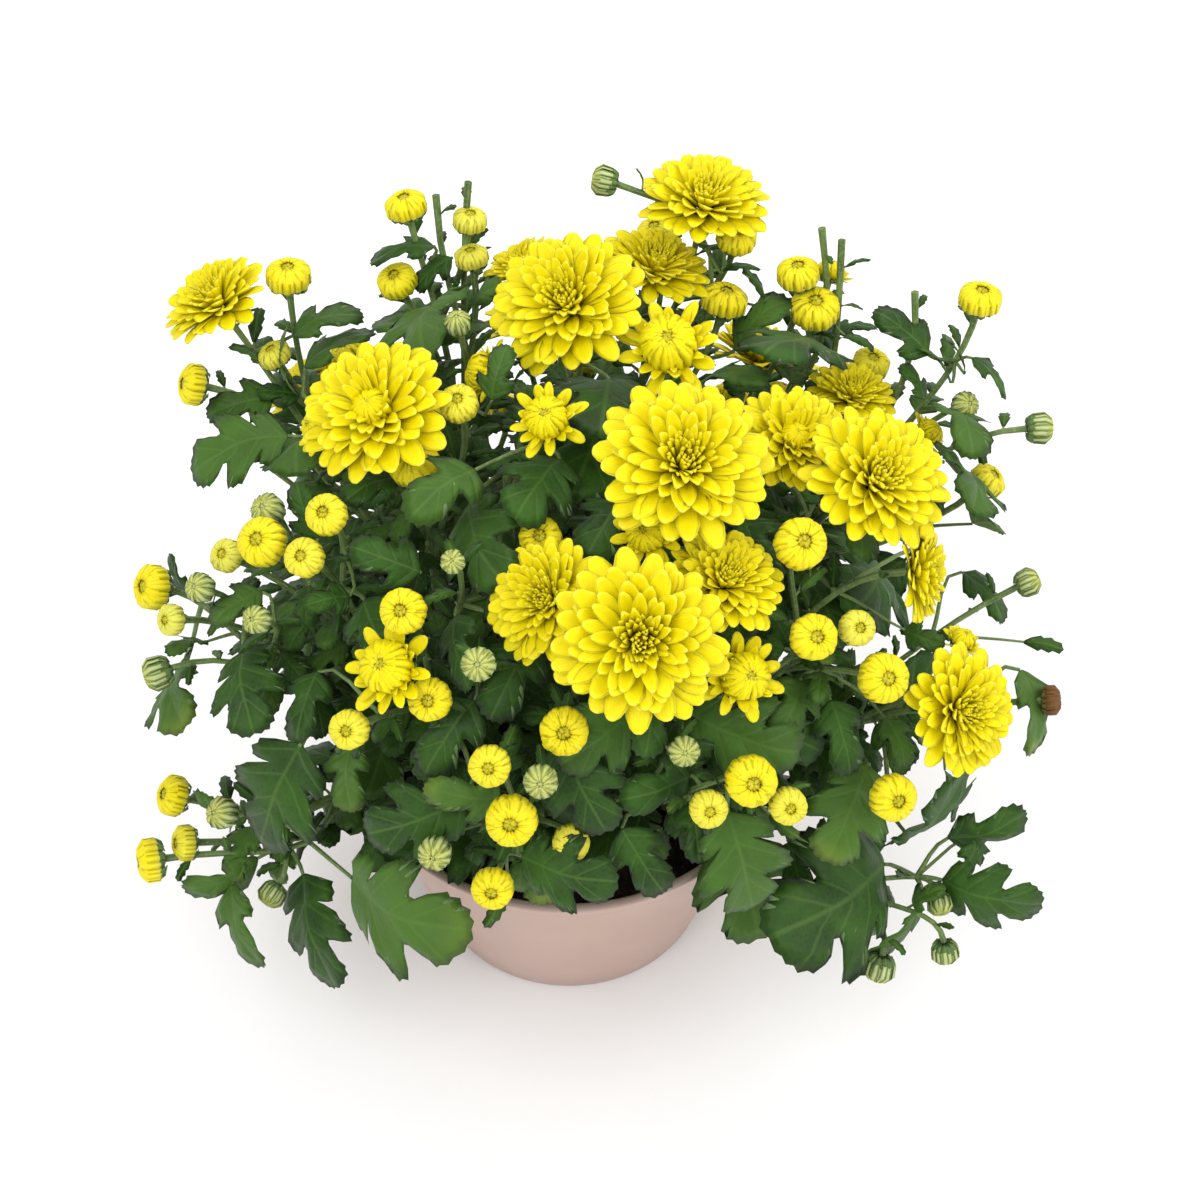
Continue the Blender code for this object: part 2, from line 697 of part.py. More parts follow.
def leaf_solid(foot, root, tip, normal, thickness):
    """A lobed blade and its stalk: an arched spine from root to tip, the same triangles on both faces."""
    length = (tip - root).length
    outline, lobes = LARGE_LEAF if length > LARGE_LEAF_LENGTH else SMALL_LEAF
    along = (tip - root).normalized()
    normal = (normal - along * normal.dot(along)).normalized()
    side = along.cross(normal)
    bend = root.lerp(tip, 0.5) + normal * length * LEAF_ARCH * 2
    way_in = (root - foot).normalized()
    foot_side = way_in.cross(normal) + side * abs(way_in.dot(normal))
    foot_side = (foot_side - way_in * foot_side.dot(way_in)).normalized()
    foot -= way_in * FOOT_SUNK
    right, left = [foot + foot_side * FOOT_HALF], [foot - foot_side * FOOT_HALF]
    for share, across in outline:
        rest = 1 - share
        spine = root * rest**2 + bend * 2 * rest * share + tip * share**2
        spine -= normal * across**2 * length * LEAF_DROOP
        outer = side if share else (side + foot_side).normalized()
        right.append(spine + outer * across * length)
        left.append(spine - outer * across * length)
    rim = right + [tip] + left[::-1]
    count = len(rim)
    skin = [(0, 1, count - 1), (1, count - 2, count - 1)]
    ribs = [1 + k for k in range(len(outline)) if k not in lobes]
    for low, high in zip(ribs, ribs[1:]):
        a, b, c, d = low, high, count - 1 - high, count - 1 - low
        skin += [(a, b, d), (b, c, d)]
        if high - low == 2:
            skin += [(a, a + 1, b), (c, c + 1, d)]
    skin.append((ribs[-1], ribs[-1] + 1, ribs[-1] + 2))
    halves = [normal * thickness / 2] * count
    halves[0] = halves[-1] = foot_side.cross(way_in) * thickness / 2
    points = [p + half for p, half in zip(rim, halves)] + [p - half for p, half in zip(rim, halves)]
    faces = list(skin) + [tuple(count + i for i in reversed(face)) for face in skin]
    for i in range(count):
        j = (i + 1) % count
        faces += [(i, count + i, count + j), (i, count + j, j)]
    return points, faces


def blade_form(way):
    """A leaf without its stalk, for testing that it is clear."""
    _, root, tip, normal = way
    foot, start = [root.lerp(tip, share) for share in BLADE_START]
    return leaf_solid(foot, start, tip, normal, LEAF_THICKNESS + CLEAR)


def keep(node, label, solid):
    """Remembers a solid, so that later ones stay clear of it."""
    points, faces = solid
    middle = sum(points, Vector()) / len(points)
    reach = max((p - middle).length for p in points)
    placed.append(Placed(node, label, middle, reach, BVHTree.FromPolygons(points, faces)))


def crossings(node, label, solid, strict):
    """How many faces of a solid cross other nodes, and how many cross its own node's heads and leaves.

    A strict count takes in its own node's shoots and stalks too."""
    points, faces = solid
    middle = sum(points, Vector()) / len(points)
    reach = max((p - middle).length for p in points)
    tree = BVHTree.FromPolygons(points, faces)
    others = own = 0
    for piece in placed:
        if label and piece.label == label:
            continue
        if (piece.middle - middle).length > piece.reach + reach:
            continue
        found = len(tree.overlap(piece.tree))
        if piece.node != node:
            others += found
        elif strict or piece.label:
            own += found
    return others, own


def clearest(options, node, label, form, strict=False):
    """The first option whose form crosses nothing, or else the one that crosses least, and its count."""
    least = None
    for option in options:
        count = crossings(node, label, form(option), strict)
        if least is None or count < least[1]:
            least = (option, count)
        if count == (0, 0):
            break
    return least


def roomiest(options, node, label):
    """The first way to hang a leaf that crosses nothing, or else the one that crosses least, and its count.

    A leaf's stalk may cross its own node, and its blade may not."""
    least = None
    for way in options:
        others, own = crossings(node, label, blade_form(way), True)
        if not others:
            others, _ = crossings(node, label, leaf_solid(*way, LEAF_THICKNESS + CLEAR), False)
        if least is None or (others, own) < least[1]:
            least = (way, (others, own))
        if least[1] == (0, 0):
            break
    return least


def seen_heads(spray):
    """The heads of a spray that the photograph shows: (head, middle, facing, direction to sink in)."""
    heads = []
    for head in spray.heads:
        point = on_crown(head.px, head.py, head.level)
        facing = Vector(head.faces).normalized() if head.faces else outward(point)
        heads.append((head, point, facing, sight(head.px, head.py)[1]))
    return heads


def hidden_heads(turn, lean, kinds):
    """The heads of a spray on the far side: the first in the middle, and the rest round it."""
    heads = []
    for k, kind in enumerate(kinds):
        swing = math.tau * k / max(1, len(kinds) - 1) + math.radians(turn * HIDDEN_TWIST)
        spread = HIDDEN_SPREAD if k else 0
        turned_to = turn + spread * math.cos(swing)
        leant_to = lean + spread * math.sin(swing) * HIDDEN_FLATNESS
        point = round_crown(turned_to, leant_to, HIDDEN_LEVELS[min(k, 1)])
        head = Head(kind, turn + k, lean, HIDDEN_ACROSS[kind])
        heads.append((head, point, outward(point), (CROWN_MIDDLE - point).normalized()))
    return heads


def seat_options(head, point, facing, inward):
    """Seats for a head, each sunk further into the crown."""
    under = facing * HEAD_RISE[head.kind] * head.across * MM
    return [point + inward * SINK_STEP * step - under for step in range(SINK_STEPS)]


def place_heads():
    """Every spray with its heads seated: [(spray, [(head, seat, facing, node, label)])]."""
    plans = [(spray, seen_heads(spray)) for spray in SPRAYS]
    plans += [(Spray(stem, [], [], HIDDEN_LEAVES), hidden_heads(*rest)) for stem, *rest in HIDDEN_SPRAYS]
    sprays, number = [], 0
    for order, (spray, heads) in enumerate(plans):
        seated = []
        for k, (head, point, facing, inward) in enumerate(heads):
            number += head.kind in BLOOM_ROWS
            node = f"bloom_{number:02d}" if head.kind in BLOOM_ROWS else spray.stem
            label = f"head {order} {k}"
            seat, _ = clearest(
                seat_options(head, point, facing, inward),
                node,
                label,
                lambda seat: head_form(seat, facing, head, HEAD_CLEARANCE),
            )
            keep(node, label, head_form(seat, facing, head))
            seated.append((head, seat, facing, node, label))
        sprays.append((spray, seated))
    return sprays


def foot_of(stem):
    turn, radius = FEET[stem]
    turn = math.radians(turn)
    return Vector((math.cos(turn) * radius, math.sin(turn) * radius, SOIL_TOP))


def trunk_solid(stem):
    points = [foot_of(stem) + UP * z for z in (-FOOT_DEPTH, 2 * MM, TRUNK_HEIGHT)]
    rings, _ = tube_rings(points, [FOOT_RADIUS, FOOT_RADIUS, FOOT_RADIUS * TRUNK_TOP], TRUNK_SIDES)
    return lofted(rings)


def point_on(route, share):
    """A point of a route and the direction it runs in there."""
    i = min(int(share * (len(route) - 1)), len(route) - 2)
    spot = route[i].lerp(route[i + 1], share * (len(route) - 1) - i)
    return spot, (route[i + 1] - route[i]).normalized()


def shoot_options(stem, seated, lower):
    """Ways for a shoot to run from its cutting to the fork under its heads."""
    start = foot_of(stem) + UP * (TRUNK_HEIGHT - SHOOT_SUNK - SHOOT_STEP * lower)
    middle = sum((seat for _, seat, *_ in seated), Vector()) / len(seated)
    facing = sum((way for _, _, way, *_ in seated), Vector()).normalized()
    level = Vector((middle.x - start.x, middle.y - start.y, 0)).normalized()
    routes = []
    for swing in SHOOT_SWINGS:
        for share in FORK_SHARES:
            fork = start.lerp(middle, share)
            leave = UP + level * SHOOT_SPREAD + level.cross(UP) * swing
            arrive = (middle - fork).normalized() + facing * SHOOT_LIFT - level.cross(UP) * swing
            ends = (start, leave.normalized(), fork, arrive.normalized())
            routes.append(arc_between(*ends, SHOOT_STEPS, SHOOT_EASE))
    return routes


def shoot_solid(route, more=0.0):
    radii = [SHOOT_RADIUS * (SHOOT_THICKEST - SHOOT_TAPER * i) + more for i in range(len(route))]
    return lofted(tube_rings(route, radii, SHOOT_SIDES)[0])


def stalk_options(route, k, seat, facing):
    """Ways for a head's stalk to leave its shoot: the first head's at the end, the others lower down."""
    ways = []
    for ease in STALK_EASES:
        for swing in STALK_SWINGS:
            for share in (STALK_TOP - STALK_SPACING * min(k, STALK_LAST), *STALK_ELSEWHERE):
                start, along = point_on(route, share)
                steps = 3 if (seat - start).length > LONG_STALK else 2
                along = (along + (seat - start).normalized()).normalized()
                for bend in (aside(along), along.cross(aside(along))):
                    start_way = (along + bend * swing).normalized()
                    ways.append(arc_between(start, start_way, seat, facing, steps, ease))
    return ways


def seen_leaf_options(leaf, spots):
    """Ways to hang a leaf that the photograph shows, from its root pixel to its tip pixel."""
    ways = []
    for dip in LEAF_DIPS:
        root = on_crown(leaf.root_px, leaf.root_py, leaf.level + LEAF_ROOT_LEVEL - dip)
        tip = on_crown(leaf.tip_px, leaf.tip_py, leaf.level + LEAF_TIP_LEVEL - dip)
        heel = root + (root - tip) * LEAF_HEEL
        foot = min(spots, key=lambda spot: (spot - heel).length)
        normal = outward(root.lerp(tip, 0.5))
        side = (tip - root).normalized().cross(normal)
        ways += [(foot, root, tip, (normal + side * roll).normalized()) for roll in LEAF_ROLLS]
    return ways


def branch_leaf_options(route, k, fill, order):
    """Ways to hang a leaf by rule, outwards from its place on the spiral round its shoot."""
    share = FIRST_LEAF + LEAF_STRETCH * k / fill
    spot, way = point_on(route, share)
    side = aside(way)
    ways = []
    for attempt in range(LEAF_ATTEMPTS):
        rng = random.Random(f"{order} {k} {attempt}")
        turn = math.radians(SPIRAL_STEP * k + rng.uniform(0, 360))
        spoke = side * math.cos(turn) + way.cross(side) * math.sin(turn)
        outer = (spot - CROWN_FOOT).normalized()
        grow = (spoke * LEAF_ASIDE + outer * LEAF_OUTWARD + UP * LEAF_UPWARD).normalized()
        length = (LOW_LEAF_LENGTH - LEAF_SHORTENING * share) * rng.uniform(*LEAF_SIZES)
        root = spot + grow * PETIOLE
        tip = root + (grow - UP * LEAF_DROP).normalized() * length
        ways.append((spot, root, tip, (UP + outer * LEAF_TILT).normalized()))
    return ways


def grow_stems(sprays):
    """The solids of each leafy stem, by node."""
    solids = {stem: [trunk_solid(stem)] for stem in FEET}
    routes, spots = [], []
    for order, (spray, seated) in enumerate(sprays):
        lower = sum(before.stem == spray.stem for before, _ in sprays[:order])
        options = shoot_options(spray.stem, seated, lower)
        route, _ = clearest(options, spray.stem, None, lambda route: shoot_solid(route, CLEAR / 2))
        solids[spray.stem].append(shoot_solid(route))
        keep(spray.stem, None, shoot_solid(route))
        routes.append(route)
    for order, (spray, seated) in enumerate(sprays):
        route = routes[order]
        spots.append([route[i].lerp(route[i + 1], s) for i in (1, 2, 3) for s in (0, 0.5, 1)])
        for k, (head, seat, facing, node, label) in enumerate(seated):
            own = None if head.kind in BLOOM_ROWS else label
            points, _ = clearest(
                stalk_options(route, k, seat, facing),
                spray.stem,
                own,
                lambda points: stalk_solid(points, head, facing, CLEAR / 2),
            )
            solids[spray.stem].append(stalk_solid(points, head, facing))
            keep(spray.stem, own, stalk_solid(points, head, facing))
            spots[-1] += points[1:-1]
    for order, (spray, seated) in enumerate(sprays):
        hangs = [seen_leaf_options(leaf, spots[order]) for leaf in spray.leaves]
        hangs += [branch_leaf_options(routes[order], k, spray.fill, order) for k in range(spray.fill)]
        for k, options in enumerate(hangs):
            label = f"leaf {order} {k}"
            way, (others, own) = roomiest(options, spray.stem, label)
            if others or (own and k >= len(spray.leaves)):
                continue
            solids[spray.stem].append(leaf_solid(*way, LEAF_THICKNESS))
            keep(spray.stem, label, leaf_solid(*way, LEAF_THICKNESS))
    return solids


def material(name, colour, roughness):
    made = bpy.data.materials.new(name)
    made.use_nodes = True
    shader = made.node_tree.nodes["Principled BSDF"]
    shader.inputs["Base Color"].default_value = (*colour, 1)
    shader.inputs["Roughness"].default_value = roughness
    shader.inputs["Metallic"].default_value = 0
    return made


def add_object(name, solid, collection, finish=None):
    points, faces = solid
    mesh = bpy.data.meshes.new(name)
    mesh.from_pydata(points, [], faces)
    made = bpy.data.objects.new(name, mesh)
    if finish:
        mesh.materials.append(finish)
    collection.objects.link(made)
    return made


def keep_outer_skin(mesh):
    """Fills the hollows that fusing sealed, drops loose scraps and joins the faces that it cut in vain."""
    edit = bmesh.new()
    edit.from_mesh(mesh)
    seen, skins = set(), []
    for face in edit.faces:
        if face in seen:
            continue
        seen.add(face)
        skin, front = [], [face]
        while front:
            current = front.pop()
            skin.append(current)
            for edge in current.edges:
                for other in edge.link_faces:
                    if other not in seen:
                        seen.add(other)
                        front.append(other)
        skins.append(skin)
    skins.sort(key=len)
    for skin in skins[:-1]:
        bmesh.ops.delete(edit, geom=skin, context="FACES")
    bmesh.ops.dissolve_limit(edit, angle_limit=FLAT_ANGLE, verts=edit.verts[:], edges=edit.edges[:])
    bmesh.ops.triangulate(edit, faces=edit.faces[:])
    edit.to_mesh(mesh)
    edit.free()


def apply_modifiers(made):
    graph = bpy.context.evaluated_depsgraph_get()
    mesh = bpy.data.meshes.new_from_object(made.evaluated_get(graph))
    made.modifiers.clear()
    made.data = mesh


def is_closed(mesh):
    edit = bmesh.new()
    edit.from_mesh(mesh)
    closed = all(len(edge.link_faces) == 2 for edge in edit.edges)
    edit.free()
    return closed


def fused(name, solids, collection, finish):
    """One body from many: a Boolean union of a collection, applied, with few faces but closed."""
    whole = add_object(name, solids[0], collection, finish)
    repeats = bpy.data.collections.new(f"{name}_repeats")
    bpy.context.scene.collection.children.link(repeats)
    for k, solid in enumerate(solids[1:]):
        add_object(f"{name}_{k}", solid, repeats)
    union = whole.modifiers.new("grown together", "BOOLEAN")
    union.operation = "UNION"
    union.operand_type = "COLLECTION"
    union.collection = repeats
    union.solver = "MANIFOLD"
    apply_modifiers(whole)
    for repeat in list(repeats.objects):
        bpy.data.objects.remove(repeat)
    bpy.data.collections.remove(repeats)
    keep_outer_skin(whole.data)
    joined = whole.data
    for ratio in FEWER_FACES:
        whole.data = joined
        whole.modifiers.new("fewer faces", "DECIMATE").ratio = ratio
        apply_modifiers(whole)
        if is_closed(whole.data):
            break
    return whole


def turned(name, profile, collection, finish):
    """A turned solid: a profile of (radius, height) points, screwed round and shaded smooth."""
    mesh = bpy.data.meshes.new(name)
    points = [Vector((radius, 0, height)) for radius, height in profile]
    mesh.from_pydata(points, [(i, i + 1) for i in range(len(points) - 1)], [])
    made = bpy.data.objects.new(name, mesh)
    mesh.materials.append(finish)
    collection.objects.link(made)
    screw = made.modifiers.new("turned", "SCREW")
    screw.steps = screw.render_steps = POT_SIDES
    screw.use_merge_vertices = True
    screw.merge_threshold = 0.05 * MM
    apply_modifiers(made)
    made.data.shade_smooth()
    made.data.set_sharp_from_angle(angle=POT_SHARP)
    return made


def cut(target, cutter, name):
    cutter.hide_render = True
    cutter.display_type = "WIRE"
    hole = target.modifiers.new(name, "BOOLEAN")
    hole.operation = "DIFFERENCE"
    hole.object = cutter


def drills(name, spots, radius, low, high, collection):
    """A cutter of upright cylinders that don't touch each other."""
    made = []
    for spot in spots:
        bpy.ops.mesh.primitive_cylinder_add(
            vertices=8, radius=radius, depth=high - low, location=(spot.x, spot.y, (low + high) / 2)
        )
        made.append(bpy.context.object)
    for cylinder in made:
        for home in cylinder.users_collection:
            home.objects.unlink(cylinder)
        collection.objects.link(cylinder)
    with bpy.context.temp_override(
        active_object=made[0], selected_objects=made, selected_editable_objects=made
    ):
        bpy.ops.object.join()
    made[0].name = name
    return made[0]


def inner_radius(height):
    """The radius of the pot's inner wall at a height."""
    return BASE_RADIUS + (RIM_RADIUS - RIM_LIP - BASE_RADIUS) * height / POT_HEIGHT - WALL


def make_pot(collection, cutters):
    band_low = POT_HEIGHT - RIM_BAND
    band_radius = inner_radius(band_low) + WALL
    profile = [
        (0, BASE_THICKNESS),
        (inner_radius(BASE_THICKNESS), BASE_THICKNESS),
        (inner_radius(POT_HEIGHT), POT_HEIGHT - POT_EDGE / 3),
        (inner_radius(POT_HEIGHT) + POT_EDGE / 3, POT_HEIGHT),
        (RIM_RADIUS - POT_EDGE / 2, POT_HEIGHT),
        (RIM_RADIUS, POT_HEIGHT - POT_EDGE * 0.7),
        (band_radius + RIM_LIP, band_low),
        (band_radius, band_low - POT_EDGE / 2),
        (BASE_RADIUS + POT_EDGE * 0.3, POT_EDGE),
        (BASE_RADIUS - POT_EDGE, 0),
        (0, 0),
    ]
    pot = turned("pot", profile, collection, material("pale_plastic", (0.72, 0.58, 0.53), 0.4))
    turns = [math.tau * (k + 0.5) / DRAIN_HOLES for k in range(DRAIN_HOLES)]
    spots = [Vector((math.cos(turn), math.sin(turn), 0)) * DRAIN_RING for turn in turns]
    through = 2 * MM
    cut(pot, drills("drains", spots, DRAIN_RADIUS, -through, BASE_THICKNESS + through, cutters), "drains")
    return pot


def make_soil(collection, cutters):
    """A plug of peat with an uneven top, and a plain hole for each cutting."""
    rng = random.Random(7)
    across, low = Vector((1, 0, 0)), BASE_THICKNESS + SEAT_GAP
    rings = [
        ring(UP * low, UP, across, inner_radius(low) - SEAT_GAP, POT_SIDES),
        ring(UP * SOIL_TOP, UP, across, inner_radius(SOIL_TOP) - SEAT_GAP, POT_SIDES),
    ]
    for share, sides in SOIL_RINGS:
        level = ring(UP * SOIL_TOP, UP, across, inner_radius(SOIL_TOP) * share, sides)
        rings.append([(t, p + UP * SOIL_LUMP * rng.uniform(-0.6, 1)) for t, p in level])
    peat = material("peat", (0.045, 0.03, 0.02), 0.95)
    soil = add_object("soil", lofted(rings, UP * SOIL_TOP), collection, peat)
    spots = [foot_of(stem) for stem in FEET]
    low, high = SOIL_TOP - FOOT_DEPTH - SEAT_GAP, SOIL_TOP + 5 * MM
    cut(soil, drills("feet", spots, FOOT_HOLE, low, high, cutters), "holes")
    return soil


def main():
    for old in list(bpy.data.objects):
        bpy.data.objects.remove(old)
    plant = bpy.data.collections.new("pot_chrysanthemum")
    cutters = bpy.data.collections.new("cutters")
    bpy.context.scene.collection.children.link(plant)
    bpy.context.scene.collection.children.link(cutters)
    graph = bpy.context.evaluated_depsgraph_get()
    for made in (make_pot(plant, cutters), make_soil(plant, cutters)):
        graph.update()
        tree = BVHTree.FromObject(made, graph)
        placed.append(Placed(made.name, made.name, Vector(), POT_HEIGHT * 2, tree))
    foliage = material("foliage", (0.11, 0.2, 0.07), 0.55)
    petals = material("yellow_petals", (0.87, 0.72, 0.02), 0.5)
    sprays = place_heads()
    for stem, solids in grow_stems(sprays).items():
        fused(stem, solids, plant, foliage)
    for _, seated in sprays:
        for head, seat, facing, node, _ in seated:
            if head.kind in BLOOM_ROWS:
                add_object(node, bloom_solid(seat, facing, head), plant, petals)


main()
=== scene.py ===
"""A pot chrysanthemum, dressed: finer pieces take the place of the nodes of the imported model.

Units are metres, +Z is up, and the origin is the middle of the pot's base. The plan of the plant
is the one that its solids were made to: a pixel of a 1200 x 1200 photograph gives a line of sight,
and the piece stands where that line meets the crown. Each piece then takes the place of its solid.
"""

import math
import random
from collections import namedtuple

import bmesh
import bpy
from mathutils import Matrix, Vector, noise
from mathutils.bvhtree import BVHTree


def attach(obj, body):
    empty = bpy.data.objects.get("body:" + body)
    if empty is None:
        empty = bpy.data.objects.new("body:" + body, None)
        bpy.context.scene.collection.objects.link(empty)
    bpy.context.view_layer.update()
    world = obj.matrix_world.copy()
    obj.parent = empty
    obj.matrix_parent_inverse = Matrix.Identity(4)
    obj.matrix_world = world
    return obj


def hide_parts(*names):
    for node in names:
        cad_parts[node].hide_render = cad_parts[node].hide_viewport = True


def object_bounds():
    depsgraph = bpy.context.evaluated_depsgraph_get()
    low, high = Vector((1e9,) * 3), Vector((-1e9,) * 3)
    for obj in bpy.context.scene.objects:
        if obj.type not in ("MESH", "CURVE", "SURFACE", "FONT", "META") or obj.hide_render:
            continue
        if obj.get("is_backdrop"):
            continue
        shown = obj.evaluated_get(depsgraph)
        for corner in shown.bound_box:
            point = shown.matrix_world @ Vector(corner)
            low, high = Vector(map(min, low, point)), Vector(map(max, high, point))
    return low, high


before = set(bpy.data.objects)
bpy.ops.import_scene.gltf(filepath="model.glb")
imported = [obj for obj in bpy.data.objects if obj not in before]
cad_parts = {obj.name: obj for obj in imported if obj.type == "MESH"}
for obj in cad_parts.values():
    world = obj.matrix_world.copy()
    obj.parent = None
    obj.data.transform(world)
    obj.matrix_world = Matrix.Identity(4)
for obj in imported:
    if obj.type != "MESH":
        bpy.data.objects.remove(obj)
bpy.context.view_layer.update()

# The studio: a plain pale floor, three large soft lamps and a pale sky, and a camera that looks down
# at the plant from in front. It isn't part of the object.
MM = 0.001
UP = Vector((0, 0, 1))
PICTURE_MIDDLE = 600
FOCAL_PIXELS = 2800
VIEW_DISTANCE = 0.86
VIEW_ELEVATION = math.radians(50)
VIEW_AIM = Vector((0.0105, 0.0, 0.148))
SENSOR = 36
FLOOR_SIZE = 6
LAMPS = [
    ("key_lamp", (-0.6, -0.85, 1.55), 1.2, 14),
    ("fill_lamp", (1.1, -0.5, 1.1), 1.2, 9),
    ("back_lamp", (0.2, 1.0, 1.6), 1.2, 11),
]
SKY = (1.0, 1.0, 1.0, 1)
SKY_STRENGTH = 0.7
LIGHT_BOUNCES = 5
DIFFUSE_BOUNCES = 2


class Value:
    """One output of a node: arithmetic with it adds Math nodes to its tree."""

    def __init__(self, tree, socket):
        self.tree = tree
        self.socket = socket

    def maths(self, operation, *terms):
        return self.tree.node("ShaderNodeMath", {"operation": operation}, dict(enumerate(terms)))

    def __add__(self, other):
        return self.maths("ADD", self, other)

    def __sub__(self, other):
        return self.maths("SUBTRACT", self, other)

    def __rsub__(self, other):
        return self.maths("SUBTRACT", other, self)

    def __mul__(self, other):
        return self.maths("MULTIPLY", self, other)

    def __truediv__(self, other):
        return self.maths("DIVIDE", self, other)

    def __pow__(self, other):
        return self.maths("POWER", self, other)

    def __neg__(self):
        return self.maths("MULTIPLY", self, -1)

    def __abs__(self):
        return self.maths("ABSOLUTE", self)

    __radd__ = __add__
    __rmul__ = __mul__

    def sin(self):
        return self.maths("SINE", self)

    def cos(self):
        return self.maths("COSINE", self)

    def root(self):
        return self.maths("SQRT", self)

    def at_least(self, other):
        return self.maths("MAXIMUM", self, other)

    def at_most(self, other):
        return self.maths("MINIMUM", self, other)

    def rise(self, low, high):
        """A soft step from 0 to 1 between two readings."""
        ends = {"Value": self, "From Min": low, "From Max": high}
        return self.tree.node("ShaderNodeMapRange", {"interpolation_type": "SMOOTHSTEP"}, ends)

    def part(self, axis):
        """The x, y or z of a vector."""
        return self.tree.node("ShaderNodeSeparateXYZ", {}, {"Vector": self}, "XYZ".index(axis))


class Tree:
    """A node tree that is written as expressions."""

    def __init__(self, nodes):
        self.nodes = nodes

    def fill(self, made, values):
        """Gives a node's sockets their values, or links them to outputs."""
        for name, value in values.items():
            if isinstance(value, Value):
                self.nodes.links.new(value.socket, made.inputs[name])
            elif value is not None:
                made.inputs[name].default_value = value

    def node(self, kind, settings=None, values=None, output=0):
        """Adds a node and gives back one of its outputs."""
        made = self.nodes.nodes.new(kind)
        for name, setting in (settings or {}).items():
            setattr(made, name, setting)
        self.fill(made, values or {})
        return Value(self, made.outputs[output])

    def mix(self, factor, low, high):
        """A colour between two colours."""
        return self.node("ShaderNodeMix", {"data_type": "RGBA"}, {0: factor, 6: low, 7: high}, 2)

    def speckle(self, scale, detail):
        """Noise of a grain size given as cells to the metre."""
        place = self.node("ShaderNodeTexCoord", output="Object")
        return self.node("ShaderNodeTexNoise", {}, {"Vector": place, "Scale": scale, "Detail": detail})

    def reading(self, name, output="Fac"):
        """An attribute of the piece."""
        return self.node("ShaderNodeAttribute", {"attribute_name": name}, output=output)

    def bump(self, height, depth, strength=1.0):
        """Fine relief of a depth in metres."""
        return self.node("ShaderNodeBump", {}, {"Height": height, "Distance": depth, "Strength": strength})


def colour(red, green, blue):
    """A colour given in the 0 to 255 steps of a screen, as the light that it sends back."""
    steps = [step / 255 for step in (red, green, blue)]
    return (*[s / 12.92 if s < 0.04045 else ((s + 0.055) / 1.055) ** 2.4 for s in steps], 1)


def finish_of(name, paint, **constants):
    """A material: constants go on the shader's own sockets, and paint(tree) gives what varies."""
    made = bpy.data.materials.new(name)
    made.use_nodes = True
    tree = Tree(made.node_tree)
    shader = made.node_tree.nodes["Principled BSDF"]
    tree.fill(shader, {label.replace("_", " "): value for label, value in constants.items()})
    tree.fill(shader, paint(tree))
    return made


def paper_floor(tree):
    """Matt paper, all but white."""
    grain = tree.speckle(40, 3)
    pale = tree.mix(grain, colour(247, 247, 247), colour(250, 250, 250))
    return {"Base Color": pale, "Roughness": grain * 0.1 + 0.8}


bpy.ops.mesh.primitive_plane_add(size=FLOOR_SIZE)
floor = bpy.context.object
floor.name = "studio_floor"
floor.data.materials.append(finish_of("pale_floor", paper_floor))
floor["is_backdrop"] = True

for lamp_name, lamp_place, lamp_size, lamp_power in LAMPS:
    lamp = bpy.data.lights.new(lamp_name, "AREA")
    lamp.shape = "DISK"
    lamp.size = lamp_size
    lamp.energy = lamp_power
    holder = bpy.data.objects.new(lamp_name, lamp)
    holder.location = lamp_place
    holder.rotation_euler = (VIEW_AIM - Vector(lamp_place)).to_track_quat("-Z", "Y").to_euler()
    bpy.context.scene.collection.objects.link(holder)

sky = bpy.data.worlds.new("pale_sky")
sky.use_nodes = True
sky.node_tree.nodes["Background"].inputs["Color"].default_value = SKY
sky.node_tree.nodes["Background"].inputs["Strength"].default_value = SKY_STRENGTH
bpy.context.scene.world = sky
bpy.context.scene.cycles.max_bounces = LIGHT_BOUNCES
bpy.context.scene.cycles.diffuse_bounces = DIFFUSE_BOUNCES
bpy.context.scene.view_settings.view_transform = "Standard"

view_back = Vector((0, -math.cos(VIEW_ELEVATION), math.sin(VIEW_ELEVATION)))
lens = bpy.data.cameras.new("camera")
lens.sensor_width = SENSOR
lens.lens = FOCAL_PIXELS / (2 * PICTURE_MIDDLE) * SENSOR
camera = bpy.data.objects.new("camera", lens)
camera.location = VIEW_AIM + view_back * VIEW_DISTANCE
camera.rotation_euler = (math.pi / 2 - VIEW_ELEVATION, 0, 0)
bpy.context.scene.collection.objects.link(camera)
bpy.context.scene.camera = camera

# The pot: one thin, tapered cup of pale pink moulded plastic, with a rolled rim and five drain
# holes round its flat base. It carries everything else.
RIM_RADIUS = 70 * MM
POT_HEIGHT = 82 * MM
BASE_RADIUS = 46 * MM
WALL = 1.8 * MM
BASE_THICKNESS = 2.4 * MM
RIM_BAND = 5 * MM
RIM_LIP = 1.4 * MM
POT_STEPS = 128
DRAIN_HOLES = 5
DRAIN_RADIUS = 2.4 * MM
DRAIN_RING = 34 * MM
DRAIN_SIDES = 24
DRILL_LENGTH = 10 * MM
FOOT_RING = 1.2 * MM
INNER_CORNER = ((-3 * MM, 0), (-0.6 * MM, 0.7 * MM))
RIM_UNDERSIDE = ((RIM_LIP, 0.3 * MM), (RIM_LIP * 0.8, 0), (0.2 * MM, -0.3 * MM), (0, -0.9 * MM))
BASE_EDGE = ((0.3 * MM, FOOT_RING), (-0.3 * MM, 0.25 * MM), (-FOOT_RING, 0), (-6 * MM, 0))
WALL_LEVELS = 6
ROLL_STEPS = 8
ROLL_FLATNESS = 0.7
SHARP_EDGE = math.radians(40)
MERGED = 0.01 * MM
DUST_TOP = 45 * MM
# The band under the top of the rim that is painted grey as shade
RIM_SHADE_BAND = (1.6 * MM, 0.4 * MM)
POT_PINK = colour(196, 165, 152)
POT_SHADE = colour(186, 154, 140)
POT_DUST = colour(206, 186, 176)
# The grey of the painted shade at the rim
POT_RIM_SHADE = colour(160, 146, 140)


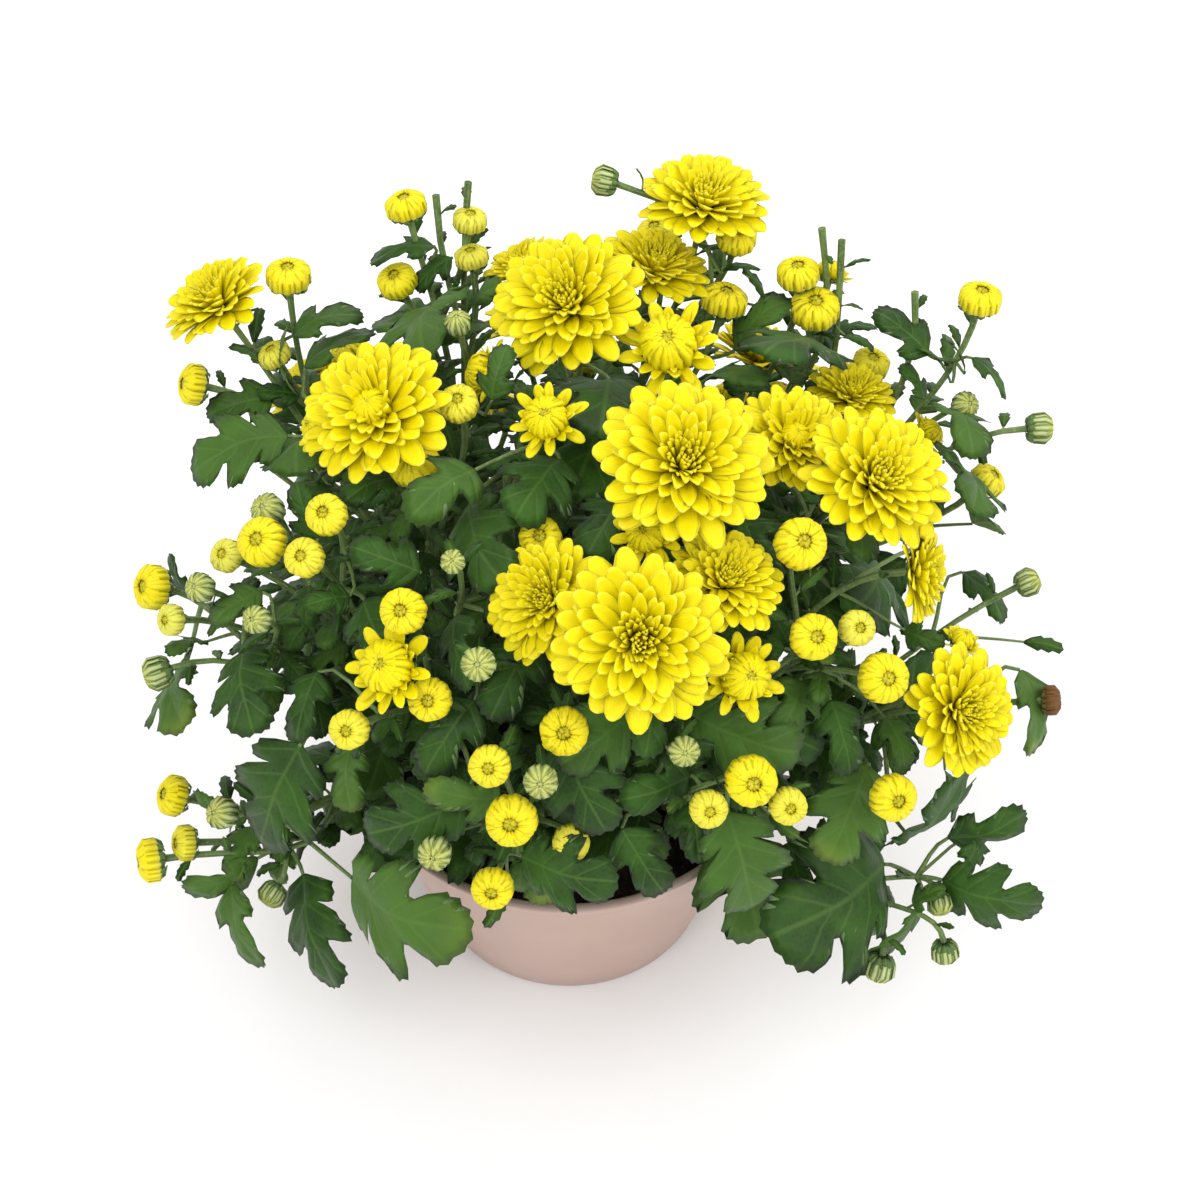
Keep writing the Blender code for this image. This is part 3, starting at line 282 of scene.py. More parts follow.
def inner_radius(height):
    """The radius of the pot's inner wall at a height."""
    return BASE_RADIUS + (RIM_RADIUS - RIM_LIP - BASE_RADIUS) * height / POT_HEIGHT - WALL


def moulded_pink(tree):
    """Satin plastic: slight clouding, fine mould grain, a duller dusty foot, and painted shade at the rim.
    """
    height = tree.node("ShaderNodeTexCoord", output="Object").part("Z")
    cloud = tree.speckle(22, 4).rise(0.35, 0.7)
    dust = tree.speckle(160, 5).rise(0.62, 0.8) * height.rise(DUST_TOP, 0.0)
    # Painted shade: a grey band round the top of the pot stands in for the shadow on the rim's inner edge.
    rim = height.rise(POT_HEIGHT - RIM_SHADE_BAND[0], POT_HEIGHT - RIM_SHADE_BAND[1])
    body = tree.mix(cloud * 0.35, POT_PINK, POT_SHADE)
    body = tree.mix(dust * 0.6, body, POT_DUST)
    body = tree.mix(rim * 0.5, body, POT_RIM_SHADE)
    grain = tree.speckle(2600, 2) + tree.speckle(300, 2) * 0.4
    return {
        "Base Color": body,
        "Roughness": cloud * 0.1 + dust * 0.25 + 0.36,
        "Normal": tree.bump(grain, 0.06 * MM, 0.6),
    }


def pot_profile():
    """Half the section of the wall, from the middle of its floor up the inside and down the outside."""
    top, band = inner_radius(POT_HEIGHT), POT_HEIGHT - RIM_BAND
    band_radius = inner_radius(band) + WALL
    points = [(0, BASE_THICKNESS)]
    points += [(inner_radius(BASE_THICKNESS) + out, BASE_THICKNESS + up) for out, up in INNER_CORNER]
    for k in range(1, WALL_LEVELS):
        height = POT_HEIGHT * k / WALL_LEVELS
        points.append((inner_radius(height), height))
    roll_middle, roll = (top + RIM_RADIUS) / 2, (RIM_RADIUS - top) / 2
    for k in range(ROLL_STEPS + 1):
        turn = math.pi * (1 - k / ROLL_STEPS)
        height = POT_HEIGHT - roll * ROLL_FLATNESS * (1 - math.sin(turn))
        points.append((roll_middle + roll * math.cos(turn), height))
    points += [(band_radius + out, band + up) for out, up in RIM_UNDERSIDE]
    for k in range(WALL_LEVELS - 1, 0, -1):
        height = band * k / WALL_LEVELS
        points.append((inner_radius(height) + WALL, height))
    points += [(BASE_RADIUS + out, up) for out, up in BASE_EDGE]
    return points + [(0, 0)]


def plain_mesh(made):
    """An object whose modifiers have been worked into its mesh."""
    graph = bpy.context.evaluated_depsgraph_get()
    mesh = bpy.data.meshes.new_from_object(made.evaluated_get(graph), depsgraph=graph)
    made.modifiers.clear()
    made.data = mesh
    return made


pot_section = bpy.data.meshes.new("pot_body")
section = [Vector((radius, 0, height)) for radius, height in pot_profile()]
pot_section.from_pydata(section, [(i, i + 1) for i in range(len(section) - 1)], [])
pot = bpy.data.objects.new("pot_body", pot_section)
pot_section.materials.append(finish_of("moulded_pink_plastic", moulded_pink, Specular_IOR_Level=0.45))
bpy.context.scene.collection.objects.link(pot)
turning = pot.modifiers.new("turned", "SCREW")
turning.steps = turning.render_steps = POT_STEPS
turning.use_merge_vertices = True
turning.merge_threshold = 2 * MERGED
plain_mesh(pot)
edit = bmesh.new()
edit.from_mesh(pot.data)
bmesh.ops.remove_doubles(edit, verts=edit.verts, dist=MERGED)
bmesh.ops.recalc_face_normals(edit, faces=edit.faces)
edit.to_mesh(pot.data)
edit.free()
drills = []
for k in range(DRAIN_HOLES):
    turn = math.tau * (k + 0.5) / DRAIN_HOLES
    place = (math.cos(turn) * DRAIN_RING, math.sin(turn) * DRAIN_RING, BASE_THICKNESS / 2)
    bpy.ops.mesh.primitive_cylinder_add(
        vertices=DRAIN_SIDES, radius=DRAIN_RADIUS, depth=DRILL_LENGTH, location=place
    )
    drills.append(bpy.context.object)
    hole = pot.modifiers.new(f"drain_{k}", "BOOLEAN")
    hole.operation = "DIFFERENCE"
    hole.object = drills[-1]
plain_mesh(pot)
for drill in drills:
    bpy.data.objects.remove(drill)
pot.data.shade_smooth()
pot.data.set_sharp_from_angle(angle=SHARP_EDGE)
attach(pot, "root")
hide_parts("pot")

# The soil: one plug of dark peat that fills the pot to a little under its rim, pressed round the
# cuttings, with loose crumbs and a few pale grains lying on it.
SOIL_TOP = POT_HEIGHT - 9 * MM
SOIL_GAP = 0.3 * MM
SOIL_LUMP = 1.5 * MM
SOIL_RINGS = 26
SOIL_SPOKES = 72
SOIL_BEVEL = (3 * MM, 2 * MM)
SOIL_SHOULDER = 2.5 * MM
LUMPS_TO_THE_METRE = (60, 190)
FINE_LUMP = 0.5
CRUMBS_TO_THE_SQUARE_METRE = 150000
CRUMB_SIZES = (0.4 * MM, 1.6 * MM)
CRUMB_SHAPES = ((0.6, 0.5, 0.4), (1.3, 1.0, 0.8))
CRUMB_TURNS = ((0.0, 0.0, 0.0), (3.1, 3.1, 6.2))
LEVEL_ENOUGH = 0.6
PEAT_BUMP = 0.9 * MM
PEAT_DARK = colour(20, 15, 11)
PEAT_BROWN = colour(44, 33, 24)
PEAT_PALE = colour(78, 62, 46)


def dark_peat(tree):
    """Fibrous dark peat: near black, with brown and a few paler flecks."""
    clod = tree.speckle(180, 6).rise(0.4, 0.68)
    fleck = tree.speckle(700, 3).rise(0.66, 0.74)
    body = tree.mix(clod, PEAT_DARK, PEAT_BROWN)
    body = tree.mix(fleck * 0.6, body, PEAT_PALE)
    height = tree.speckle(420, 8) + tree.speckle(1500, 3) * 0.5
    return {"Base Color": body, "Roughness": 0.98 - clod * 0.1, "Normal": tree.bump(height, PEAT_BUMP)}


class ShapeTree(Tree):
    """A tree that makes a shape. Its inputs are named: {name: kind of socket}."""

    def __init__(self, name, inputs):
        super().__init__(bpy.data.node_groups.new(name, "GeometryNodeTree"))
        sockets = self.nodes.interface
        sockets.new_socket("Geometry", in_out="OUTPUT", socket_type="NodeSocketGeometry")
        for label, kind in {"Geometry": "Geometry", **inputs}.items():
            sockets.new_socket(label, in_out="INPUT", socket_type="NodeSocket" + kind)
        source = self.nodes.nodes.new("NodeGroupInput")
        self.given = {socket.name: Value(self, socket) for socket in source.outputs if socket.name}

    def vector(self, operation, *terms, output=0):
        return self.node("ShaderNodeVectorMath", {"operation": operation}, dict(enumerate(terms)), output)

    def times(self, way, amount):
        """A vector made longer or shorter."""
        return self.node("ShaderNodeVectorMath", {"operation": "SCALE"}, {0: way, 3: amount})

    def kept(self, name, kind="FLOAT_VECTOR"):
        """What was stored on the points under a name."""
        return self.node("GeometryNodeInputNamedAttribute", {"data_type": kind}, {"Name": name})

    def store(self, geometry, name, value, kind="FLOAT"):
        """The geometry with a value stored on its points under a name."""
        values = {"Geometry": geometry, "Name": name, "Value": value}
        return self.node("GeometryNodeStoreNamedAttribute", {"data_type": kind}, values)

    def chance(self, low, high, seed):
        """A number, or a vector, drawn for each point between two limits."""
        kind, first = ("FLOAT_VECTOR", 0) if isinstance(low, tuple) else ("FLOAT", 2)
        values = {first: low, first + 1: high, "Seed": seed}
        return self.node("FunctionNodeRandomValue", {"data_type": kind}, values, first // 2)

    def close(self, geometry, finish=None):
        """Ends the tree: what it gives out is real mesh."""
        if finish:
            geometry = self.node("GeometryNodeSetMaterial", {}, {"Geometry": geometry, "Material": finish})
        self.fill(self.nodes.nodes.new("NodeGroupOutput"), {"Geometry": geometry})
        return self


def grown(name, mesh, tree, inputs):
    """The piece that a tree makes of a starting mesh."""
    made = bpy.data.objects.new(name, mesh)
    bpy.context.scene.collection.objects.link(made)
    modifier = made.modifiers.new(name, "NODES")
    modifier.node_group = tree.nodes
    for item in tree.nodes.interface.items_tree:
        if item.in_out == "INPUT" and item.name in inputs:
            modifier[item.identifier] = inputs[item.name]
    return plain_mesh(made)


def crumb_tree():
    """Loose crumbs on the faces that look up: small uneven lumps, each its own size and turn."""
    sizes = dict.fromkeys(("Density", "Smallest", "Largest"), "Float")
    tree = ShapeTree("crumbs", {**sizes, "Finish": "Material"})
    given = tree.given
    facing = tree.node("GeometryNodeInputNormal").part("Z")
    compare = {"data_type": "FLOAT", "operation": "GREATER_THAN"}
    upward = tree.node("FunctionNodeCompare", compare, {0: facing, 1: LEVEL_ENOUGH})
    spots = tree.node(
        "GeometryNodeDistributePointsOnFaces", {},
        {"Mesh": given["Geometry"], "Selection": upward, "Density": given["Density"], "Seed": 11},
    )
    lump = tree.node("GeometryNodeMeshIcoSphere", {}, {"Radius": 1.0, "Subdivisions": 1})
    size = tree.chance(given["Smallest"], given["Largest"], 3)
    scale = tree.times(tree.chance(*CRUMB_SHAPES, 5), size)
    turn = tree.chance(*CRUMB_TURNS, 8)
    crumbs = tree.node(
        "GeometryNodeInstanceOnPoints", {},
        {"Points": spots, "Instance": lump, "Rotation": turn, "Scale": scale},
    )
    real = tree.node("GeometryNodeRealizeInstances", {}, {"Geometry": crumbs})
    return tree.close(real, given["Finish"])


def soil_height(x, y):
    """The lie of the soil, in soft lumps over fine ones."""
    soft, fine = LUMPS_TO_THE_METRE
    lumps = noise.noise(Vector((x, y, 0)) * soft) + FINE_LUMP * noise.noise(Vector((x, y, 1)) * fine)
    return SOIL_TOP + SOIL_LUMP * lumps


def soil_mesh():
    """The plug: a lathe of rings whose top follows the lie of the soil."""
    made = bmesh.new()
    low = BASE_THICKNESS + SOIL_GAP
    levels = [(0, low), (inner_radius(low) - SOIL_GAP - SOIL_BEVEL[0], low)]
    for height in (low + SOIL_BEVEL[1], SOIL_TOP * 0.5, SOIL_TOP - SOIL_SHOULDER):
        levels.append((inner_radius(height) - SOIL_GAP, height))
    edge = inner_radius(SOIL_TOP) - SOIL_GAP
    levels += [(edge * (1 - k / SOIL_RINGS), None) for k in range(1, SOIL_RINGS + 1)]
    rings = []
    for radius, height in levels:
        spokes = [math.tau * i / SOIL_SPOKES for i in range(SOIL_SPOKES if radius > 0 else 1)]
        flat = [(math.cos(turn) * radius, math.sin(turn) * radius) for turn in spokes]
        rings.append([
            made.verts.new((x, y, soil_height(x, y) if height is None else height)) for x, y in flat
        ])
    for low_ring, high_ring in zip(rings, rings[1:]):
        for i in range(SOIL_SPOKES):
            j = (i + 1) % SOIL_SPOKES
            corners = [low_ring[i % len(low_ring)], low_ring[j % len(low_ring)]]
            corners += [high_ring[j % len(high_ring)], high_ring[i % len(high_ring)]]
            made.faces.new(list(dict.fromkeys(corners)))
    bmesh.ops.recalc_face_normals(made, faces=made.faces)
    mesh = bpy.data.meshes.new("peat_plug")
    made.to_mesh(mesh)
    made.free()
    return mesh


peat = finish_of("dark_peat", dark_peat, Specular_IOR_Level=0.2)
soil = bpy.data.objects.new("peat_plug", soil_mesh())
soil.data.materials.append(peat)
soil.data.shade_smooth()
bpy.context.scene.collection.objects.link(soil)
smallest, largest = CRUMB_SIZES
crumbs = grown(
    "peat_crumbs", soil.data.copy(), crumb_tree(),
    {"Density": CRUMBS_TO_THE_SQUARE_METRE, "Smallest": smallest, "Largest": largest, "Finish": peat},
)
for piece in (soil, crumbs):
    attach(piece, "root")
    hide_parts("soil")

# The plan of the plant: six rooted cuttings, each with its shoots, and on them the heads and leaves
# that the photograph shows by their pixels, and a few more on the side that it hides. Each way that
# a piece may run is listed, and the one that its solid was made to is picked out on the solid.

# Where each cutting stands on the soil: its direction from the middle in degrees, and its distance
FEET = {
    "leafy_stem_1": (200, 40 * MM),
    "leafy_stem_2": (262, 38 * MM),
    "leafy_stem_3": (325, 40 * MM),
    "leafy_stem_4": (28, 40 * MM),
    "leafy_stem_5": (90, 36 * MM),
    "leafy_stem_6": (148, 40 * MM),
}

# The crown is an egg-shaped ball. Heads and leaves lie at a level of it: 1 is its surface, and 0 its
# middle. They face out of it, and are drawn towards the light.
CROWN_MIDDLE = Vector((0.006, 0.005, 0.125))
CROWN_RADII = Vector((0.140, 0.105, 0.118))
CROWN_FOOT = Vector((0, 0, 0.06))
CROWN_PULL = 0.75
TOWARDS_SKY_AND_VIEWER = Vector((0, -0.28, 0.5))

# Shoots run from a cutting's trunk to a fork under their heads, and a stalk from there to each head.
# Where a list gives several values, they are tried in turn.
TRUNK_HEIGHT = 18 * MM
SHOOT_SUNK = 2.5 * MM
SHOOT_STEP = 3 * MM
SHOOT_RADIUS = 1.7 * MM
SHOOT_THICKEST = 1.15
SHOOT_TAPER = 0.11
SHOOT_STEPS = 4
SHOOT_SIDES = 4
SHOOT_EASE = 0.38
SHOOT_SPREAD = 0.45
SHOOT_LIFT = 0.4
STALK_RADIUS = 1.05 * MM
STALK_STEPS = (2, 3)
STALK_SIDES = 3
STALK_LAST = 5
STALK_TOP = 0.96
STALK_SPACING = 0.11
STALK_ELSEWHERE = (0.9, 0.7, 0.5)
LONG_STALK = 32 * MM
SINK_STEP = 2.5 * MM
SINK_STEPS = 24
SHOOT_SWINGS = (0, 0.25, -0.25, 0.5, -0.5, 0.8, -0.8, 1.2, -1.2)
FORK_SHARES = (0.74, 0.66, 0.8, 0.58)
STALK_SWINGS = (0, 0.3, -0.3, 0.6, -0.6, 1.0, -1.0, 1.5, -1.5)
STALK_EASES = (0.38, 0.25, 0.5)

# A leaf that the photograph shows runs between two pixels. The others climb their shoot in a spiral.
LEAF_DIPS = (0, 0.03, -0.03, 0.06, 0.09, 0.12, 0.16, 0.2, 0.25, 0.3)
LEAF_ROLLS = (0, 0.3, -0.3, 0.6, -0.6)
LEAF_ROOT_LEVEL = -0.08
LEAF_TIP_LEVEL = 0.02
LEAF_HEEL = 0.3
LEAF_ATTEMPTS = 24
SPIRAL_STEP = 137.5
FIRST_LEAF = 0.25
LEAF_STRETCH = 0.7
LOW_LEAF_LENGTH = 46 * MM
LEAF_SHORTENING = 16 * MM
LEAF_SIZES = (0.85, 1.15)
LEAF_ASIDE = 0.75
LEAF_OUTWARD = 0.6
LEAF_UPWARD = 0.1
LEAF_DROP = 0.25
LEAF_TILT = 0.4
PETIOLE = 9 * MM

# How far a head's middle stands over its seat, as a share of its width, and how far its top does, as
# a share of half its width
HEAD_RISE = {"open": 0.17, "half": 0.34, "yellow": 0.38, "green": 0.42, "cut": 0.0}
HEAD_TOP = {"open": 0.56, "half": 0.88, "yellow": 1.12, "green": 1.6, "cut": 0.0}
BLOOM_KINDS = ("open", "half")

# The far side: (cutting, direction and lean in degrees, heads) of each shoot, and its heads' widths
# in millimetres
HIDDEN_SPRAYS = [
    ("leafy_stem_4", 48, 88, ("open", "yellow", "green")),
    ("leafy_stem_4", 64, 72, ("open", "yellow", "yellow", "green")),
    ("leafy_stem_5", 82, 96, ("open", "yellow", "green")),
    ("leafy_stem_5", 96, 66, ("open", "half", "yellow")),
    ("leafy_stem_6", 118, 88, ("open", "yellow", "yellow")),
    ("leafy_stem_6", 130, 72, ("open", "half", "yellow", "green")),
]
HIDDEN_ACROSS = {"open": 40, "half": 22, "yellow": 13, "green": 9}
HIDDEN_SPREAD = 16
HIDDEN_FLATNESS = 0.8
HIDDEN_LEVELS = (1.0, 0.97)
HIDDEN_TWIST = 3
HIDDEN_LEAVES = 4

# What the photograph shows: heads by the pixel of their middle, their width in millimetres, their
# level and the way they face, and leaves by the pixels of their root and tip, and their level
Head = namedtuple("Head", "kind px py across level faces", defaults=(1.0, None))
Leaf = namedtuple("Leaf", "root_px root_py tip_px tip_py level", defaults=(0.92,))
Spray = namedtuple("Spray", "stem heads leaves fill", defaults=(1,))
SPRAYS = [
    Spray("leafy_stem_2", [
        Head("open", 640, 640, 48, 1.03), Head("open", 545, 600, 36, 0.95, (-0.45, -0.45, 0.8)),
        Head("open", 728, 577, 34, 0.93, (0.25, -0.1, 0.9)),
        Head("half", 748, 676, 25, 0.95, (0.35, -0.55, 0.7)), Head("yellow", 564, 732, 14.5, 0.93),
        Head("yellow", 540, 537, 13, 0.86),
    ], [
        Leaf(655, 690, 645, 758), Leaf(640, 705, 560, 765, 0.84), Leaf(690, 712, 800, 752, 0.86),
        Leaf(560, 742, 606, 832, 0.88), Leaf(600, 560, 540, 640, 0.76),
    ]),
    Spray("leafy_stem_2", [
        Head("yellow", 511, 822, 15.5, 1.0), Head("yellow", 489, 767, 12.5), Head("green", 541, 781, 10),
        Head("yellow", 571, 844, 11.5), Head("green", 435, 853, 10), Head("yellow", 492, 890, 13),
    ], [
        Leaf(522, 856, 617, 882, 0.96), Leaf(505, 893, 484, 928, 0.96), Leaf(500, 797, 424, 786),
        Leaf(540, 800, 620, 812, 0.86),
    ]),
    Spray("leafy_stem_2", [
        Head("yellow", 752, 782, 15.5, 1.0), Head("yellow", 709, 810, 11.5), Head("yellow", 789, 807, 11.5),
        Head("green", 684, 751, 9),
    ], [
        Leaf(728, 812, 752, 907, 0.98), Leaf(622, 828, 664, 893, 0.94), Leaf(690, 775, 620, 800, 0.86),
        Leaf(770, 815, 800, 838, 0.94),
    ]),
    Spray("leafy_stem_1", [
        Head("half", 383, 665, 27, 1.0, (-0.35, -0.45, 0.8)), Head("yellow", 402, 611, 13.6),
        Head("yellow", 429, 700, 13), Head("yellow", 348, 730, 12), Head("green", 479, 664, 10),
        Head("green", 453, 562, 7),
    ], [
        Leaf(466, 800, 367, 834, 0.95), Leaf(440, 740, 470, 790, 0.88), Leaf(350, 745, 352, 812, 0.88),
        Leaf(455, 615, 470, 690, 0.84), Leaf(530, 640, 490, 720, 0.8), Leaf(500, 600, 450, 650, 0.8),
        Leaf(475, 700, 425, 775, 0.86), Leaf(318, 672, 297, 740, 0.9),
    ]),
    Spray("leafy_stem_1", [
        Head("yellow", 260, 541, 15, 1.0), Head("yellow", 325, 514, 12.5), Head("yellow", 303, 557, 12),
        Head("yellow", 225, 555, 10.5, 0.96), Head("green", 268, 510, 10, 0.94),
    ], [
        Leaf(420, 572, 349, 546, 0.92), Leaf(350, 596, 303, 606, 0.92), Leaf(365, 600, 395, 668, 0.86),
        Leaf(318, 538, 297, 482, 0.9), Leaf(300, 612, 250, 664, 0.93),
    ]),
    Spray("leafy_stem_1", [
        Head("yellow", 149, 587, 14.4, 1.0, (-0.75, -0.4, 0.6)),
        Head("yellow", 169, 620, 10, 1.0, (-0.6, -0.5, 0.55)), Head("green", 200, 588, 9),
        Head("green", 157, 673, 10.5, 1.0, (-0.8, -0.3, -0.1)), Head("green", 257, 620, 8.5),
    ], [
        Leaf(243, 650, 255, 734, 0.97), Leaf(262, 592, 212, 624, 0.93), Leaf(205, 642, 169, 656, 0.95),
        Leaf(186, 664, 187, 727, 0.97), Leaf(187, 592, 170, 553, 0.93),
    ]),
    Spray("leafy_stem_1", [
        Head("yellow", 147, 861, 14.5, 1.0, (-0.9, -0.25, 0.1)),
        Head("yellow", 170, 795, 13.5, 1.0, (-0.8, -0.2, 0.6)),
        Head("yellow", 182, 843, 12, 0.97, (-0.85, -0.3, 0.35)),
        Head("green", 222, 813, 10, 1.0, (-0.5, -0.4, 0.6)),
        Head("green", 272, 895, 9, 1.0, (-0.4, -0.6, -0.2)),
    ], [
        Leaf(303, 874, 336, 987, 1.0), Leaf(352, 878, 471, 930, 1.0), Leaf(232, 884, 264, 967, 1.0),
        Leaf(300, 745, 262, 842, 0.97), Leaf(258, 858, 182, 886, 0.97), Leaf(236, 815, 205, 792, 0.96),
        Leaf(258, 826, 234, 882, 0.96),
    ]),
    Spray("leafy_stem_5", [
        Head("open", 685, 460, 48, 1.02), Head("half", 645, 530, 21, 0.9, (-0.2, -0.5, 0.8)),
    ], [
        Leaf(745, 520, 775, 590, 0.84), Leaf(620, 500, 585, 560, 0.82), Leaf(640, 560, 660, 500, 0.7),
    ]),
    Spray("leafy_stem_6", [
        Head("half", 545, 415, 22, 0.97, (-0.15, -0.4, 0.9)),
        Head("half", 474, 370, 20, 0.88, (-0.9, 0.1, 0.3)),
    ], [
        Leaf(560, 460, 515, 520, 0.86), Leaf(475, 470, 408, 520, 0.93), Leaf(600, 420, 570, 500, 0.8),
        Leaf(500, 560, 540, 640, 0.82), Leaf(470, 505, 505, 585, 0.82),
    ]),
    Spray("leafy_stem_4", [
        Head("open", 880, 475, 43, 1.0, (0.3, -0.3, 0.85)), Head("open", 795, 437, 34, 0.98),
        Head("open", 852, 390, 27, 0.9, (0.1, 0.15, 0.95)),
        Head("half", 935, 430, 15, 0.92, (0.75, 0.1, 0.6)),
        Head("yellow", 990, 478, 12.2, 0.97, (0.6, 0.1, 0.8)),
    ], [
        Leaf(944, 462, 972, 512, 0.95), Leaf(972, 524, 998, 532, 0.95), Leaf(850, 520, 860, 560, 0.86),
    ]),
    Spray("leafy_stem_3", [
        Head("yellow", 802, 543, 15.5, 0.98), Head("yellow", 815, 637, 14, 0.98),
        Head("yellow", 858, 628, 11, 0.95), Head("yellow", 885, 678, 15.3, 0.98),
        Head("open", 925, 572, 29, 0.96, (0.9, -0.22, 0.25)),
    ], [
        Leaf(870, 560, 850, 615, 0.84), Leaf(800, 570, 840, 650, 0.82), Leaf(800, 680, 770, 745, 0.85),
        Leaf(905, 630, 945, 645, 0.9), Leaf(830, 700, 850, 775, 0.86), Leaf(905, 560, 845, 605, 0.82),
        Leaf(745, 712, 822, 752, 0.88), Leaf(866, 716, 806, 735, 0.84), Leaf(885, 718, 905, 768, 0.86),
        Leaf(840, 690, 790, 655, 0.8),
    ]),
    Spray("leafy_stem_3", [
        Head("open", 965, 710, 37, 1.02, (0.5, -0.5, 0.65)),
        Head("half", 965, 636, 13, 0.94, (0.3, 0.2, 0.9)), Head("yellow", 895, 799, 14.7, 1.0),
        Head("yellow", 1054, 700, 10, 1.0, (0.9, -0.1, 0.2)),
        Head("green", 1028, 582, 9, 1.0, (0.8, 0.1, 0.5)),
    ], [
        Leaf(1024, 642, 1064, 650, 0.97), Leaf(1020, 670, 1029, 756, 0.95), Leaf(962, 572, 1004, 622, 0.93),
        Leaf(905, 832, 950, 778, 0.94), Leaf(895, 720, 915, 655, 0.84), Leaf(945, 770, 952, 822, 0.93),
        Leaf(868, 765, 828, 862, 0.92),
    ]),
    Spray("leafy_stem_3", [
        Head("green", 945, 952, 9, 1.0, (0.15, -0.4, -0.85)),
        Head("green", 879, 968, 10.5, 1.0, (-0.2, -0.5, -0.7)),
        Head("green", 940, 905, 8, 0.97, (0.1, -0.8, -0.2)),
    ], [
        Leaf(884, 864, 770, 938, 0.98), Leaf(923, 896, 866, 955, 1.0), Leaf(942, 880, 1042, 903, 1.0),
        Leaf(948, 838, 1026, 812, 0.99), Leaf(975, 842, 955, 886, 0.95),
    ], 1),
    Spray("leafy_stem_5", [
        Head("half", 668, 340, 30, 0.98, (-0.1, -0.4, 0.9)), Head("yellow", 725, 297, 15, 0.95),
    ], [
        Leaf(735, 350, 790, 300, 0.9), Leaf(700, 385, 765, 385, 0.84),
    ]),
    Spray("leafy_stem_5", [
        Head("open", 565, 300, 44, 1.02, (-0.25, -0.35, 0.9)),
        Head("open", 655, 262, 34, 0.9, (0.2, 0.15, 1)), Head("open", 520, 262, 26, 0.9, (-0.4, 0.3, 0.8)),
    ], [
        Leaf(500, 330, 450, 345, 0.86), Leaf(610, 380, 600, 440, 0.84),
    ]),
    Spray("leafy_stem_6", [
        Head("open", 372, 408, 44, 1.0, (-0.3, -0.3, 0.9)),
        Head("half", 312, 425, 18, 0.93, (-0.7, -0.2, 0.6)), Head("yellow", 412, 460, 16, 1.0),
        Head("yellow", 458, 402, 12, 0.97),
    ], [
        Leaf(330, 440, 296, 475, 0.93), Leaf(288, 436, 193, 474, 0.98), Leaf(395, 478, 343, 502, 0.9),
        Leaf(305, 368, 376, 334, 0.92),
    ]),
    Spray("leafy_stem_6", [
        Head("open", 212, 297, 34, 1.0, (-0.45, 0.05, 0.9)),
        Head("yellow", 288, 273, 14.5, 1.0, (0, 0.1, 1)), Head("yellow", 273, 353, 11, 0.98),
        Head("yellow", 190, 384, 13.5, 1.0, (-0.85, -0.2, 0.4)),
    ], [
        Leaf(292, 336, 363, 316, 0.97), Leaf(297, 396, 289, 324, 0.95), Leaf(262, 364, 228, 347, 0.97),
        Leaf(274, 398, 207, 416, 0.97), Leaf(300, 396, 256, 392, 0.94),
    ]),
    Spray("leafy_stem_6", [
        Head("yellow", 405, 203, 13.4, 1.0, (-0.2, 0.2, 1)),
        Head("yellow", 470, 218, 11, 1.0, (0.1, 0.1, 1)), Head("yellow", 471, 255, 11),
        Head("yellow", 396, 279, 13, 1.0, (-0.3, -0.1, 1)), Head("green", 458, 323, 8),
        Head("cut", 436, 195, 2, 1.0, (0, 0.35, 1)), Head("cut", 468, 182, 2, 1.0, (0.1, 0.35, 1)),
    ], [
        Leaf(434, 246, 370, 264, 0.97), Leaf(455, 342, 372, 327, 0.95), Leaf(452, 258, 416, 290, 0.94),
        Leaf(472, 322, 502, 284, 1.0), Leaf(440, 306, 426, 364, 0.93), Leaf(492, 400, 508, 345, 0.98),
        Leaf(455, 394, 405, 366, 0.86),
    ]),
    Spray("leafy_stem_5", [
        Head("open", 705, 195, 38, 1.02, (0.1, 0.0, 1)), Head("yellow", 737, 235, 13, 1.0, (0.1, -0.1, 1)),
        Head("yellow", 655, 230, 12, 0.98, (-0.2, 0, 1)),
        Head("green", 604, 181, 9.5, 1.0, (-0.9, 0.1, 0.2)),
    ], [
        Leaf(765, 300, 742, 268, 0.88), Leaf(722, 272, 706, 220, 0.9),
    ]),
    Spray("leafy_stem_4", [
        Head("yellow", 815, 306, 15.8, 1.0, (0, -0.1, 1)),
        Head("yellow", 798, 271, 13.8, 0.97, (-0.1, 0.1, 1)),
        Head("half", 832, 266, 15, 0.9, (0.2, 0.5, 0.8)), Head("yellow", 872, 362, 12.5, 0.98, (0.2, 0, 1)),
        Head("cut", 822, 228, 2, 1.0, (-0.15, 0.4, 1)), Head("cut", 842, 240, 2, 1.0, (0, 0.4, 1)),
    ], [
        Leaf(822, 350, 762, 356, 0.93), Leaf(845, 335, 874, 352, 0.94),
    ]),
    Spray("leafy_stem_4", [
        Head("yellow", 981, 296, 13.8, 1.0, (0.1, 0.1, 1)),
        Head("green", 1040, 428, 10, 1.0, (0.95, 0, 0.05)),
        Head("green", 965, 405, 8.5, 0.98, (0.3, -0.4, 0.6)),
        Head("cut", 915, 292, 2, 1.0, (-0.15, 0.3, 1)),
    ], [
        Leaf(972, 358, 1006, 399, 0.98), Leaf(928, 355, 874, 311, 0.97), Leaf(925, 400, 900, 365, 0.93),
        Leaf(950, 382, 912, 345, 0.94), Leaf(965, 372, 942, 338, 0.97), Leaf(945, 408, 972, 460, 0.99),
    ]),
]

# A way is a smooth curve: where it starts and ends, the directions it leaves and arrives in, the
# number of its steps, and how far those directions carry, as a share of the distance
UPRIGHT = 0.95
Way = namedtuple("Way", "start leave end arrive steps ease")


def sight(px, py):
    """The viewpoint, and the direction in which it sees a pixel."""
    across = Vector((1, 0, 0))
    way = across * (px - PICTURE_MIDDLE) + view_back.cross(across) * (PICTURE_MIDDLE - py)
    return VIEW_AIM + view_back * VIEW_DISTANCE, (way - view_back * FOCAL_PIXELS).normalized()


